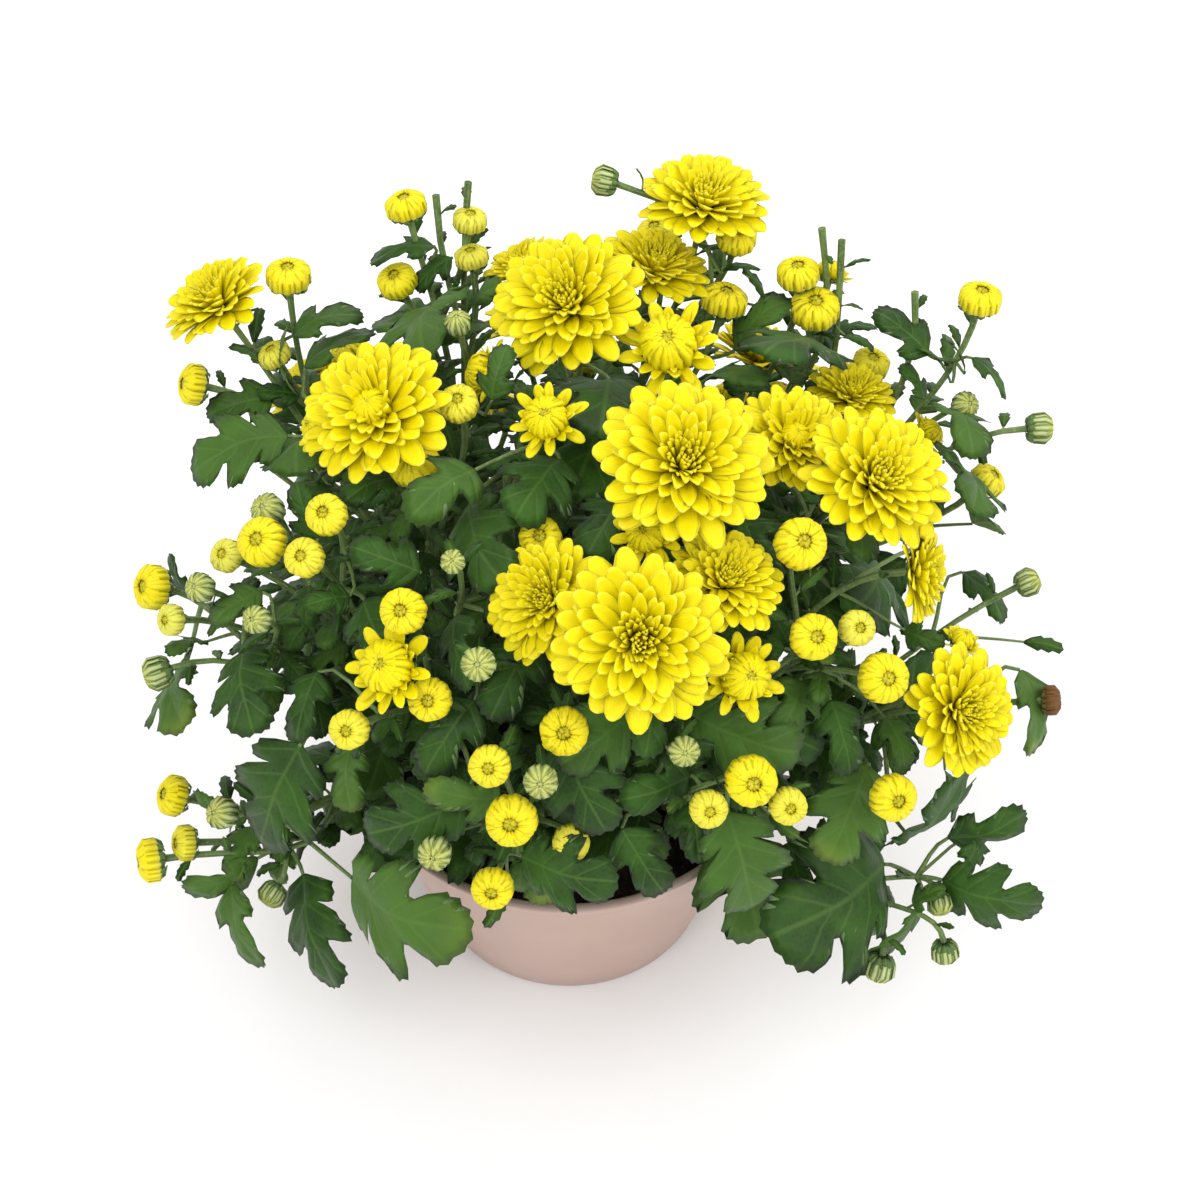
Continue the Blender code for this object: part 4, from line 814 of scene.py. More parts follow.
def shrunk(vector):
    """The vector in a space where the crown is a ball of radius 1."""
    return Vector(vector[i] / CROWN_RADII[i] for i in range(3))


def on_crown(px, py, level):
    """Where a pixel's line of sight meets the crown at that level, or passes nearest to its middle."""
    eye, way = sight(px, py)
    start, slope = shrunk(eye - CROWN_MIDDLE), shrunk(way)
    distance = -start.dot(slope) / slope.length_squared
    inside = level**2 - (start + slope * distance).length_squared
    if inside > 0:
        distance -= math.sqrt(inside / slope.length_squared)
    return eye + way * distance


def round_crown(turn, lean, level):
    """The point of the crown in a direction given by two angles in degrees."""
    turn, lean = math.radians(turn), math.radians(lean)
    way = (math.sin(lean) * math.cos(turn), math.sin(lean) * math.sin(turn), math.cos(lean))
    return CROWN_MIDDLE + Vector(way[i] * CROWN_RADII[i] for i in range(3)) * level


def outward(point):
    """The direction in which the crown faces at a point, turned towards the sky and the viewer."""
    slope = shrunk(shrunk(point - CROWN_MIDDLE)).normalized()
    return (slope * CROWN_PULL + TOWARDS_SKY_AND_VIEWER).normalized()


def aside(way):
    """A direction square to another."""
    is_upright = abs(way.z) > UPRIGHT
    return way.cross(Vector((1, 0, 0)) if is_upright else UP).normalized()


def arc_between(start, start_way, end, end_way, steps, ease):
    """Points on a smooth curve that leaves and arrives in the given directions."""
    reach = (end - start).length * ease
    leave, arrive = start + start_way * reach, end - end_way * reach
    points = []
    for i in range(steps + 1):
        share = i / steps
        rest = 1 - share
        pull = leave * rest + arrive * share
        points.append(start * rest**3 + pull * 3 * rest * share + end * share**3)
    return points


def point_on(route, share):
    """A point of a route and the direction it runs in there."""
    i = min(int(share * (len(route) - 1)), len(route) - 2)
    spot = route[i].lerp(route[i + 1], share * (len(route) - 1) - i)
    return spot, (route[i + 1] - route[i]).normalized()


def corners_round(points, radii, sides):
    """The corners of a solid of that many sides round the points between the ends of a curve."""
    corners, side = [], None
    for k, point in enumerate(points):
        way = (points[min(k + 1, len(points) - 1)] - points[max(k - 1, 0)]).normalized()
        side = aside(way) if side is None else (side - way * side.dot(way)).normalized()
        if 0 < k < len(points) - 1:
            turns = [math.tau * i / sides for i in range(sides)]
            spokes = [side * math.cos(turn) + way.cross(side) * math.sin(turn) for turn in turns]
            corners += [point + spoke * radii[k] for spoke in spokes]
    return corners


FARTHEST_MISS = 3 * MM


def miss(skin, points):
    """How far points lie off a solid's skin, on average, none counted for more than a limit."""
    return sum(min(skin.find_nearest(point)[3], FARTHEST_MISS) for point in points) / len(points)


def found(skin, options, marks):
    """The option whose marks lie on the skin, and how far they are off it."""
    scores = [(miss(skin, marks(option)), k) for k, option in enumerate(options)]
    score, k = min(scores)
    return options[k], score


def skin_of(node):
    """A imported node's surface, for finding the nearest point of it."""
    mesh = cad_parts[node].data
    return BVHTree.FromPolygons([v.co for v in mesh.vertices], [face.vertices[:] for face in mesh.polygons])


def seen_heads(spray):
    """The heads of a spray that the photograph shows: (head, middle, facing, direction to sink in)."""
    heads = []
    for head in spray.heads:
        point = on_crown(head.px, head.py, head.level)
        facing = Vector(head.faces).normalized() if head.faces else outward(point)
        heads.append((head, point, facing, sight(head.px, head.py)[1]))
    return heads


def hidden_heads(turn, lean, kinds):
    """The heads of a spray on the far side: the first in the middle, and the rest round it."""
    heads = []
    for k, kind in enumerate(kinds):
        swing = math.tau * k / max(1, len(kinds) - 1) + math.radians(turn * HIDDEN_TWIST)
        spread = HIDDEN_SPREAD if k else 0
        turned_to = turn + spread * math.cos(swing)
        leant_to = lean + spread * math.sin(swing) * HIDDEN_FLATNESS
        point = round_crown(turned_to, leant_to, HIDDEN_LEVELS[min(k, 1)])
        head = Head(kind, turn + k, lean, HIDDEN_ACROSS[kind])
        heads.append((head, point, outward(point), (CROWN_MIDDLE - point).normalized()))
    return heads


def seat_options(head, point, facing, inward):
    """Seats for a head, each sunk further into the crown."""
    under = facing * HEAD_RISE[head.kind] * head.across * MM
    return [point + inward * SINK_STEP * step - under for step in range(SINK_STEPS)]


def foot_of(stem):
    """Where a cutting stands on the soil."""
    turn, radius = FEET[stem]
    turn = math.radians(turn)
    return Vector((math.cos(turn) * radius, math.sin(turn) * radius, SOIL_TOP))


def shoot_options(stem, seated, lower):
    """Ways for a shoot to run from its cutting to the fork under its heads."""
    start = foot_of(stem) + UP * (TRUNK_HEIGHT - SHOOT_SUNK - SHOOT_STEP * lower)
    middle = sum((seat for _, seat, *_ in seated), Vector()) / len(seated)
    facing = sum((way for _, _, way, *_ in seated), Vector()).normalized()
    level = Vector((middle.x - start.x, middle.y - start.y, 0)).normalized()
    ways = []
    for swing in SHOOT_SWINGS:
        for share in FORK_SHARES:
            fork = start.lerp(middle, share)
            leave = UP + level * SHOOT_SPREAD + level.cross(UP) * swing
            arrive = (middle - fork).normalized() + facing * SHOOT_LIFT - level.cross(UP) * swing
            leave, arrive = leave.normalized(), arrive.normalized()
            ways.append(Way(start, leave, fork, arrive, SHOOT_STEPS, SHOOT_EASE))
    return ways


def stalk_options(route, k, seat, facing):
    """Ways for a head's stalk to leave its shoot: the first head's at the end, the others lower down."""
    few, many = STALK_STEPS
    ways = []
    for ease in STALK_EASES:
        for swing in STALK_SWINGS:
            for share in (STALK_TOP - STALK_SPACING * min(k, STALK_LAST), *STALK_ELSEWHERE):
                start, along = point_on(route, share)
                steps = many if (seat - start).length > LONG_STALK else few
                along = (along + (seat - start).normalized()).normalized()
                for bend in (aside(along), along.cross(aside(along))):
                    start_way = (along + bend * swing).normalized()
                    ways.append(Way(start, start_way, seat, facing, steps, ease))
    return ways


def seen_leaf_options(leaf, spots):
    """Ways to hang a leaf that the photograph shows, from its root pixel to its tip pixel."""
    ways = []
    for dip in LEAF_DIPS:
        root = on_crown(leaf.root_px, leaf.root_py, leaf.level + LEAF_ROOT_LEVEL - dip)
        tip = on_crown(leaf.tip_px, leaf.tip_py, leaf.level + LEAF_TIP_LEVEL - dip)
        heel = root + (root - tip) * LEAF_HEEL
        foot = min(spots, key=lambda spot: (spot - heel).length)
        normal = outward(root.lerp(tip, 0.5))
        side = (tip - root).normalized().cross(normal)
        ways += [(foot, root, tip, (normal + side * roll).normalized()) for roll in LEAF_ROLLS]
    return ways


def branch_leaf_options(route, k, fill, order):
    """Ways to hang a leaf by rule: they climb a shoot in a spiral, smaller towards its top."""
    share = FIRST_LEAF + LEAF_STRETCH * k / fill
    spot, way = point_on(route, share)
    side = aside(way)
    ways = []
    for attempt in range(LEAF_ATTEMPTS):
        rng = random.Random(f"{order} {k} {attempt}")
        turn = math.radians(SPIRAL_STEP * k + rng.uniform(0, 360))
        spoke = side * math.cos(turn) + way.cross(side) * math.sin(turn)
        outer = (spot - CROWN_FOOT).normalized()
        grow = (spoke * LEAF_ASIDE + outer * LEAF_OUTWARD + UP * LEAF_UPWARD).normalized()
        length = (LOW_LEAF_LENGTH - LEAF_SHORTENING * share) * rng.uniform(*LEAF_SIZES)
        root = spot + grow * PETIOLE
        tip = root + (grow - UP * LEAF_DROP).normalized() * length
        ways.append((spot, root, tip, (UP + outer * LEAF_TILT).normalized()))
    return ways


# A solid leaf has ribs (along, aside) and lobes between them, as shares of its length. They show
# which way it was hung.
LARGE_LEAF_LENGTH = 28 * MM
LARGE_LEAF = ([(0.0, 0.03), (0.33, 0.18), (0.66, 0.22), (0.85, 0.27)], [(0.17, 0.34), (0.54, 0.46)])
SMALL_LEAF = ([(0.0, 0.04), (0.49, 0.21), (0.82, 0.27)], [(0.33, 0.42)])
LEAF_ARCH = 0.13
LEAF_DROOP = 0.35
LEAF_SOLID = 0.8 * MM
LEAF_MISS = 0.8 * MM


def leaf_marks(way):
    """The middles of a solid leaf's faces: of its upper skin on one hand, of its lower on the other."""
    _, root, tip, normal = way
    length = (tip - root).length
    along = (tip - root).normalized()
    normal = (normal - along * normal.dot(along)).normalized()
    side = along.cross(normal)
    bend = root.lerp(tip, 0.5) + normal * length * LEAF_ARCH * 2

    def corner(place, hand):
        share, across = place
        spine = root * (1 - share) ** 2 + bend * 2 * (1 - share) * share + tip * share**2
        return spine - normal * across**2 * length * LEAF_DROOP + side * hand * across * length

    ribs, lobes = LARGE_LEAF if length > LARGE_LEAF_LENGTH else SMALL_LEAF
    marks = []
    for hand in (1, -1):
        skin = normal * hand * LEAF_SOLID / 2
        for low, high in zip(ribs, ribs[1:]):
            marks.append((corner(low, hand) + corner(high, hand) + corner(low, -hand)) / 3 + skin)
        for low, lobe, high in zip(ribs, lobes, ribs[1:]):
            marks.append((corner(low, hand) + corner(lobe, hand) + corner(high, hand)) / 3 + skin)
    return marks


Seated = namedtuple("Seated", "head seat facing node")
Shoot = namedtuple("Shoot", "stem way")
Stalk = namedtuple("Stalk", "stem way head")
Blade = namedtuple("Blade", "stem foot root tip normal")
HEAD_MARK = 0.02 * MM
LEAF_SPOTS = (0, 0.5, 1)
SHOOT_RADII = [SHOOT_RADIUS * (SHOOT_THICKEST - SHOOT_TAPER * k) for k in range(SHOOT_STEPS + 1)]
STALK_RADII = [STALK_RADIUS] * (max(STALK_STEPS) + 1)
skins = {node: skin_of(node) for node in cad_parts}
plans = [(spray, seen_heads(spray)) for spray in SPRAYS]
plans += [(Spray(stem, [], [], HIDDEN_LEAVES), hidden_heads(*rest)) for stem, *rest in HIDDEN_SPRAYS]
sprays, seats, shoots, stalks, blades = [], [], [], [], []
for spray, heads in plans:
    seated = []
    for head, point, facing, inward in heads:
        is_bloom = head.kind in BLOOM_KINDS
        number = sum(before.head.kind in BLOOM_KINDS for before in seats) + 1
        node = f"bloom_{number:02d}" if is_bloom else spray.stem
        top = facing * head.across * MM / 2 * HEAD_TOP[head.kind]
        seat, _ = found(
            skins[node],
            seat_options(head, point, facing, inward),
            lambda seat: [seat + top + aside(facing) * HEAD_MARK],
        )
        seated.append((head, seat, facing))
        seats.append(Seated(head, seat, facing, node))
    sprays.append((spray, seated))
routes = []
for order, (spray, seated) in enumerate(sprays):
    lower = sum(before.stem == spray.stem for before, _ in sprays[:order])
    way, _ = found(
        skins[spray.stem],
        shoot_options(spray.stem, seated, lower),
        lambda way: corners_round(arc_between(*way), SHOOT_RADII, SHOOT_SIDES),
    )
    routes.append(arc_between(*way))
    shoots.append(Shoot(spray.stem, way))
for order, (spray, seated) in enumerate(sprays):
    route = routes[order]
    spots = [low.lerp(high, share) for low, high in zip(route[1:], route[2:]) for share in LEAF_SPOTS]
    for k, (head, seat, facing) in enumerate(seated):
        way, _ = found(
            skins[spray.stem],
            stalk_options(route, k, seat, facing),
            lambda way: corners_round(arc_between(*way), STALK_RADII, STALK_SIDES),
        )
        stalks.append(Stalk(spray.stem, way, head))
        spots += arc_between(*way)[1:-1]
    hangs = [seen_leaf_options(leaf, spots) for leaf in spray.leaves]
    hangs += [branch_leaf_options(route, k, spray.fill, order) for k in range(spray.fill)]
    for options in hangs:
        way, score = found(skins[spray.stem], options, leaf_marks)
        if score < LEAF_MISS:
            blades.append(Blade(spray.stem, *way))

# The small leaves that the solids leave out: they grow along the shoots and up the flower stalks,
# smaller towards the end, and only where there is room for them.
SPRIG_ATTEMPTS = 9
SPRIG_ROOM = 1.2 * MM
SPRIG_REACH = 8 * MM
SPRIG_PETIOLE = 0.22
SPRIG_CLIMB = (0.1, 0.8)
SPRIG_DROP = 0.2
SPRIG_TILT = (0.5, 0.3)
SPRIG_HALF_WIDTH = 0.3
SPRIG_MARKS = (0.3, 0.55)
SHOOT_LEAF = (27 * MM, 17 * MM)
SHOOT_LEAF_SIZES = (0.8, 1.15)
SHOOT_LEAF_SHARES = (0.3, 0.42, 0.54, 0.66, 0.78, 0.9, 0.99)
STALK_LEAF = (17 * MM, 7 * MM)
STALK_LEAF_SIZES = (0.8, 1.2)
STALK_LEAF_STEP = 9 * MM
STALK_LEAF_MARGINS = (0.7, 0.4)
STALK_ROUTE_STEPS = 12
sprigs, sprig_middles = [], []


def room_round(points, others):
    """The least distance from points to any solid, and to the middles of small leaves grown before."""
    room = SPRIG_REACH
    for point in points:
        for skin in skins.values():
            room = min(room, skin.find_nearest(point, room)[3] or room)
        for other in others:
            room = min(room, (point - other).length * 0.5)
    return room


def sprig(stem, spot, way, length, rng):
    """The roomiest of a few small leaves that could grow from a spot of a stem."""
    side, choices = aside(way), []
    out, back = SPRIG_TILT
    for attempt in range(SPRIG_ATTEMPTS):
        turn = rng.uniform(0, math.tau)
        spoke = side * math.cos(turn) + way.cross(side) * math.sin(turn)
        grow = (spoke + way * rng.uniform(*SPRIG_CLIMB)).normalized()
        root = spot + grow * length * SPRIG_PETIOLE
        tip = root + (grow - UP * SPRIG_DROP).normalized() * length
        outer = (spot - CROWN_FOOT).normalized()
        normal = (UP + outer * out - way * back).normalized()
        wide = (tip - root).cross(normal).normalized() * length * SPRIG_HALF_WIDTH
        near, middle = [root.lerp(tip, share) for share in SPRIG_MARKS]
        points = [near, middle + wide, middle - wide, tip]
        room = room_round(points, sprig_middles)
        choices.append((room, attempt, middle, Blade(stem, spot, root, tip, normal)))
    room, _, middle, blade = max(choices, key=lambda choice: choice[:2])
    if room > SPRIG_ROOM:
        sprig_middles.append(middle)
        sprigs.append(blade)


for order, shoot in enumerate(shoots):
    rng = random.Random(f"shoot {order}")
    low, high = SHOOT_LEAF
    for share in SHOOT_LEAF_SHARES:
        spot, way = point_on(routes[order], share)
        length = (low + (high - low) * share) * rng.uniform(*SHOOT_LEAF_SIZES)
        sprig(shoot.stem, spot, way, length, rng)
for order, stalk in enumerate(stalks):
    rng = random.Random(f"stalk {order}")
    low, high = STALK_LEAF
    before, ends = STALK_LEAF_MARGINS
    route = arc_between(*stalk.way._replace(steps=STALK_ROUTE_STEPS))
    count = int((stalk.way.end - stalk.way.start).length / STALK_LEAF_STEP)
    for k in range(count):
        share = (k + before) / (count + ends)
        spot, way = point_on(route, share)
        length = (low + (high - low) * share) * rng.uniform(*STALK_LEAF_SIZES)
        sprig(stalk.stem, spot, way, length, rng)

# The stems: each cutting's green shoots and flower stalks, one grown piece from a woody foot in the
# soil. They are ribbed lengthwise, a little thicker where they fork, and grey-green with fine down.
FOOT_DEPTH = 26 * MM
FOOT_RADIUS = 3.2 * MM
TRUNK_POINTS = 9
TRUNK_TAPER = 0.22
TRUNK_LUMPS = (0.96, 1.06)
STEM_RIBS = 5
STEM_RIB_DEPTH = 0.1
SHOOT_POINTS = 18
SHOOT_KNOT = 0.05
SHOOT_KNOTS = 40
STALK_POINTS = 9
STALK_THIN = {"green": 0.8}
STALK_USUAL = 0.92
STALK_FLARE = (0.35, 0.3)
PETIOLE_POINTS = 4
PETIOLE_RADIUS = 0.75 * MM
PETIOLE_TAPER = (1.25, 0.45)
PETIOLE_THIN = 0.35
PETIOLE_EASE = 0.33
PETIOLE_LIFT = 0.2
PETIOLE_TURN = (0.8, 0.4, 0.3)
STEM_BUMP = 0.12 * MM
STEM_GREEN = colour(96, 122, 60)
STEM_GREY = colour(140, 158, 104)
STEM_DARK = colour(66, 92, 36)
STEM_BARK = colour(96, 78, 48)


def downy_stem(tree):
    """Grey-green stem: paler down on the ribs, darker blotches, and bark near the soil."""
    blotch = tree.speckle(110, 4).rise(0.4, 0.65)
    down = tree.speckle(900, 3).rise(0.45, 0.75)
    rib = tree.reading("rib")
    body = tree.mix(blotch, STEM_GREEN, STEM_DARK)
    body = tree.mix(down * 0.5 + rib * 0.35, body, STEM_GREY)
    bark = tree.reading("woody") * tree.speckle(160, 4).rise(0.2, 0.6)
    body = tree.mix(bark * 0.85, body, STEM_BARK)
    return {
        "Base Color": body,
        "Roughness": down * 0.15 + 0.55,
        "Normal": tree.bump(tree.speckle(1800, 3) + rib * 0.5, STEM_BUMP, 0.7),
    }


def stem_tree():
    """A ribbed stem round every line of a mesh, as thick as the line's own reading says."""
    tree = ShapeTree("ribbed_stems", {"Ribs": "Int", "Rib Depth": "Float", "Finish": "Material"})
    given = tree.given
    lines = tree.node("GeometryNodeMeshToCurve", {}, {"Mesh": given["Geometry"]})
    ring = {"Resolution": given["Ribs"] * 2, "Radius": 1.0}
    section = tree.node("GeometryNodeCurvePrimitiveCircle", {}, ring)
    index = tree.node("GeometryNodeInputIndex")
    groove = index.maths("MODULO", index, 2)
    out = tree.times(tree.node("GeometryNodeInputPosition"), 1 - given["Rib Depth"] * groove)
    section = tree.node("GeometryNodeSetPosition", {}, {"Geometry": section, "Position": out})
    section = tree.store(section, "rib", 1 - groove)
    thick = tree.kept("thick", "FLOAT")
    tube = {"Curve": lines, "Profile Curve": section, "Scale": thick, "Fill Caps": True}
    made = tree.node("GeometryNodeCurveToMesh", {}, tube)
    return tree.close(tree.node("GeometryNodeSetShadeSmooth", {}, {"Geometry": made}), given["Finish"])


def start_mesh(name, points, edges, readings):
    """A mesh of points and lines that carries readings: {name: a number or a vector for each point}."""
    mesh = bpy.data.meshes.new(name)
    mesh.from_pydata(points, edges, [])
    for label, values in readings.items():
        is_vector = not isinstance(values[0], (int, float))
        layer = mesh.attributes.new(label, "FLOAT_VECTOR" if is_vector else "FLOAT", "POINT")
        flat = [number for value in values for number in value] if is_vector else values
        layer.data.foreach_set("vector" if is_vector else "value", flat)
    return mesh


def shares_of(steps):
    """Even steps from 0 to 1."""
    return [k / steps for k in range(steps + 1)]


def stem_lines(stem):
    """The lines of a cutting's stems: [(points, thickness at each)], the woody foot first."""
    foot = foot_of(stem)
    rng = random.Random(stem)
    steps = shares_of(TRUNK_POINTS)
    trunk = [foot + UP * ((FOOT_DEPTH + TRUNK_HEIGHT) * s - FOOT_DEPTH) for s in steps]
    lines = [(trunk, [FOOT_RADIUS * (1 - TRUNK_TAPER * s) * rng.uniform(*TRUNK_LUMPS) for s in steps])]
    for shoot in shoots:
        if shoot.stem == stem:
            points = arc_between(*shoot.way._replace(steps=SHOOT_POINTS))
            thick = []
            for share in shares_of(SHOOT_POINTS):
                radius = SHOOT_RADIUS * (SHOOT_THICKEST - SHOOT_TAPER * SHOOT_STEPS * share)
                thick.append(radius * (1 + SHOOT_KNOT * math.sin(share * SHOOT_KNOTS)))
            lines.append((points, thick))
    low, high = STALK_FLARE
    for stalk in stalks:
        if stalk.stem == stem:
            points = arc_between(*stalk.way._replace(steps=STALK_POINTS))
            radius = STALK_RADIUS * STALK_THIN.get(stalk.head.kind, STALK_USUAL)
            thick = [radius * (1 + low * (1 - s) ** 6 + high * s**8) for s in shares_of(STALK_POINTS)]
            lines.append((points, thick))
    thickest, taper = PETIOLE_TAPER
    onward, straight, over = PETIOLE_TURN
    for blade in blades + sprigs:
        if blade.stem == stem:
            way_in, along = (blade.root - blade.foot).normalized(), blade.tip - blade.root
            leave = (way_in + UP * PETIOLE_LIFT).normalized()
            arrive = along.normalized() * onward + way_in * straight + blade.normal * over
            way = Way(blade.foot, leave, blade.root, arrive.normalized(), PETIOLE_POINTS, PETIOLE_EASE)
            points = arc_between(*way)
            size = along.length / LARGE_LEAF_LENGTH
            radius = PETIOLE_RADIUS * min(1, PETIOLE_THIN + size * (1 - PETIOLE_THIN))
            lines.append((points, [radius * (thickest - taper * s) for s in shares_of(PETIOLE_POINTS)]))
    return lines


stem_finish = finish_of("downy_stem", downy_stem, Specular_IOR_Level=0.35)
ribbed_stems = stem_tree()
for stem in FEET:
    points, edges, thickness, woody = [], [], [], []
    for k, (line, thick) in enumerate(stem_lines(stem)):
        edges += [(len(points) + i, len(points) + i + 1) for i in range(len(line) - 1)]
        points += line
        thickness += thick
        woody += [0.0 if k else 1.0] * len(line)
    mesh = start_mesh(f"{stem}_stems", points, edges, {"thick": thickness, "woody": woody})
    piece = grown(
        f"{stem}_stems", mesh, ribbed_stems,
        {"Ribs": STEM_RIBS, "Rib Depth": STEM_RIB_DEPTH, "Finish": stem_finish},
    )
    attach(piece, "root")
    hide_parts(stem)

# The leaves: soft lobed blades, dark green above and grey-green below, hung by their stalks. A large
# leaf has two pairs of lobes with blunt teeth and a small one has one pair. A row of a blade runs
# from the midrib to the edge: (start on the midrib, angle, length), in shares of the leaf's length.
LARGE_LEAF_ROWS = [
    (0.00, 90, 0.020), (0.01, 84, 0.06), (0.02, 77, 0.20), (0.035, 72, 0.325), (0.045, 68, 0.325),
    (0.06, 64, 0.385), (0.08, 60, 0.365), (0.09, 57, 0.375), (0.11, 55, 0.315), (0.135, 56, 0.255),
    (0.16, 59, 0.19), (0.185, 62, 0.235), (0.205, 61, 0.375), (0.225, 59, 0.435), (0.24, 57, 0.505),
    (0.26, 55, 0.50), (0.28, 53, 0.545), (0.30, 51, 0.52), (0.32, 49.5, 0.535), (0.35, 47.5, 0.445),
    (0.39, 47, 0.32), (0.44, 47, 0.235), (0.49, 48, 0.22), (0.53, 49, 0.295), (0.56, 47, 0.33),
    (0.585, 45, 0.375), (0.61, 42, 0.355), (0.635, 38, 0.37), (0.66, 32.5, 0.335), (0.685, 26, 0.34),
    (0.70, 20, 0.31), (0.72, 13, 0.305), (0.735, 6.5, 0.275), (0.745, 0, 0.255),
]
SMALL_LEAF_ROWS = [
    (0.00, 90, 0.025), (0.02, 80, 0.09), (0.04, 72, 0.235), (0.07, 65, 0.38), (0.09, 61, 0.40),
    (0.11, 58, 0.455), (0.14, 55, 0.43), (0.16, 53, 0.445), (0.20, 52, 0.34), (0.25, 53, 0.24),
    (0.31, 54, 0.205), (0.39, 53, 0.265), (0.46, 51, 0.31), (0.52, 48, 0.355), (0.57, 44, 0.335),
    (0.61, 38, 0.37), (0.65, 30, 0.325), (0.68, 22, 0.34), (0.70, 14, 0.29), (0.72, 6, 0.295),
    (0.73, 0, 0.27),
]
TINY_LEAF_ROWS = [
    (0.00, 90, 0.05), (0.12, 74, 0.13), (0.26, 60, 0.24), (0.36, 58, 0.18), (0.48, 50, 0.26),
    (0.6, 46, 0.19), (0.72, 34, 0.24), (0.8, 22, 0.16), (0.85, 0, 0.15),
]
LARGE_LEAF_COLUMNS = (-1, -0.68, -0.3, 0, 0.3, 0.68, 1)
SMALL_LEAF_COLUMNS = (-1, -0.5, 0, 0.5, 1)
TINY_LEAF_COLUMNS = (-1, 0, 1)
LARGE_LEAF_VEINS = ((0.04, 61), (0.24, 53), (0.44, 44), (0.60, 34))
SMALL_LEAF_VEINS = ((0.08, 56), (0.34, 48), (0.55, 38))
TINY_LEAF_LENGTH = 13 * MM
LEAF_THICKNESS = 0.45 * MM
LEAF_WAVE = 0.016
LEAF_FOLD = 0.14
LEAF_TWIST = 0.16
EDGE_RIPPLES = 23
BLADE_RIPPLES = (9, 17)
MIDRIB_EDGE = (0.022, 0.004)
VEIN_EDGE = (0.014, 0.002)
VEIN_FADE = (0.5, 0.25)
QUILT_WIDTHS = (0.08, 0.05)
NET_TO_THE_METRE = 520.0
LEAF_BUMP = 0.4 * MM
MERGED_SHARE = 0.0001
LEAF_DEEP = colour(24, 54, 6)
LEAF_MID = colour(50, 92, 14)
LEAF_LIGHT = colour(88, 124, 44)
LEAF_VEIN = colour(88, 122, 50)
LEAF_UNDER = colour(112, 138, 86)
LEAF_OLD = colour(128, 146, 44)


def lay_of(tree):
    """Where a point lies in the blank it came from: how far along, and how far off the middle."""
    blank = tree.reading("blank", "Vector")
    return blank.part("X"), abs(blank.part("Y"))


def leaf_finish(name, veins):
    """Soft leaf: mottled green, paler veins that run to the lobes, quilted between them."""

    def paint(tree):
        along, across = lay_of(tree)
        under = (-tree.reading("blank", "Vector").part("Z")).rise(0.0, 0.4)
        luck = tree.reading("luck")
        ribs = across.rise(*MIDRIB_EDGE)
        quilt = across.rise(QUILT_WIDTHS[0], 0.0)
        for start, angle in veins:
            turn = math.radians(angle)
            off = abs((along - start) * math.sin(turn) - across * math.cos(turn))
            reach = ((along - start) * math.cos(turn) + across * math.sin(turn)).rise(*VEIN_FADE)
            ribs = ribs.at_least(off.rise(*VEIN_EDGE) * reach * 0.75)
            quilt = quilt.at_least(off.rise(QUILT_WIDTHS[1], 0.0) * 0.8)
        cells = {"Vector": tree.node("ShaderNodeTexCoord", output="Object"), "Scale": NET_TO_THE_METRE}
        net = tree.node("ShaderNodeTexVoronoi", {"feature": "DISTANCE_TO_EDGE"}, cells).rise(0.4, 0.0)
        cloud = tree.speckle(70, 4).rise(0.3, 0.7)
        body = tree.mix(cloud * 0.7 + luck * 0.3, LEAF_DEEP, LEAF_MID)
        body = tree.mix((luck - 0.45).at_least(0) * 0.9, body, LEAF_LIGHT)
        body = tree.mix(net * 0.08 + ribs * 0.34, body, LEAF_VEIN)
        old = (along + tree.speckle(90, 3) * 0.3).rise(0.9, 1.15) * luck.rise(0.92, 0.98)
        body = tree.mix(old * 0.5, body, LEAF_OLD)
        body = tree.mix(under * 0.75, body, LEAF_UNDER)
        down = tree.speckle(2400, 2)
        height = down * 0.2 - net * 0.2 - quilt * (1 - under * 2)
        return {
            "Base Color": body,
            "Roughness": 0.5 + cloud * 0.1 + under * 0.2,
            "Normal": tree.bump(height, LEAF_BUMP, 0.6),
        }

    return finish_of(name, paint, Specular_IOR_Level=0.25, Sheen_Weight=0.05, Sheen_Roughness=0.5)


def closed_sheet(name, rows, is_end):
    """A thin closed blank: z is 1 on its upper skin, -1 on the lower, and 0 where they meet."""
    made = bmesh.new()
    for level in (1, -1):
        grid = []
        for i, row in enumerate(rows):
            heights = [0 if is_end(i) or j in (0, len(row) - 1) else level for j in range(len(row))]
            grid.append([made.verts.new((x, y, z)) for (x, y), z in zip(row, heights)])
        for low, high in zip(grid, grid[1:]):
            for j in range(len(low) - 1):
                corners = [low[j], low[j + 1], high[j + 1], high[j]]
                made.faces.new(corners if level > 0 else corners[::-1])
    bmesh.ops.remove_doubles(made, verts=made.verts, dist=MERGED_SHARE)
    bmesh.ops.dissolve_degenerate(made, edges=made.edges, dist=MERGED_SHARE)
    bmesh.ops.recalc_face_normals(made, faces=made.faces)
    mesh = bpy.data.meshes.new(name)
    made.to_mesh(mesh)
    made.free()
    blank = bpy.data.objects.new(name, mesh)
    blank.hide_render = True
    bpy.context.scene.collection.objects.link(blank)
    return blank


def leaf_blank(name, table, columns):
    """A leaf laid flat: a row for each line of its table, mirrored across the midrib."""
    rows = []
    for start, angle, length in table:
        turn = math.radians(angle)
        rows.append([
            (start + math.cos(turn) * length * abs(column), math.sin(turn) * length * column)
            for column in columns
        ])
    return closed_sheet(name, rows, lambda i: i == 0)


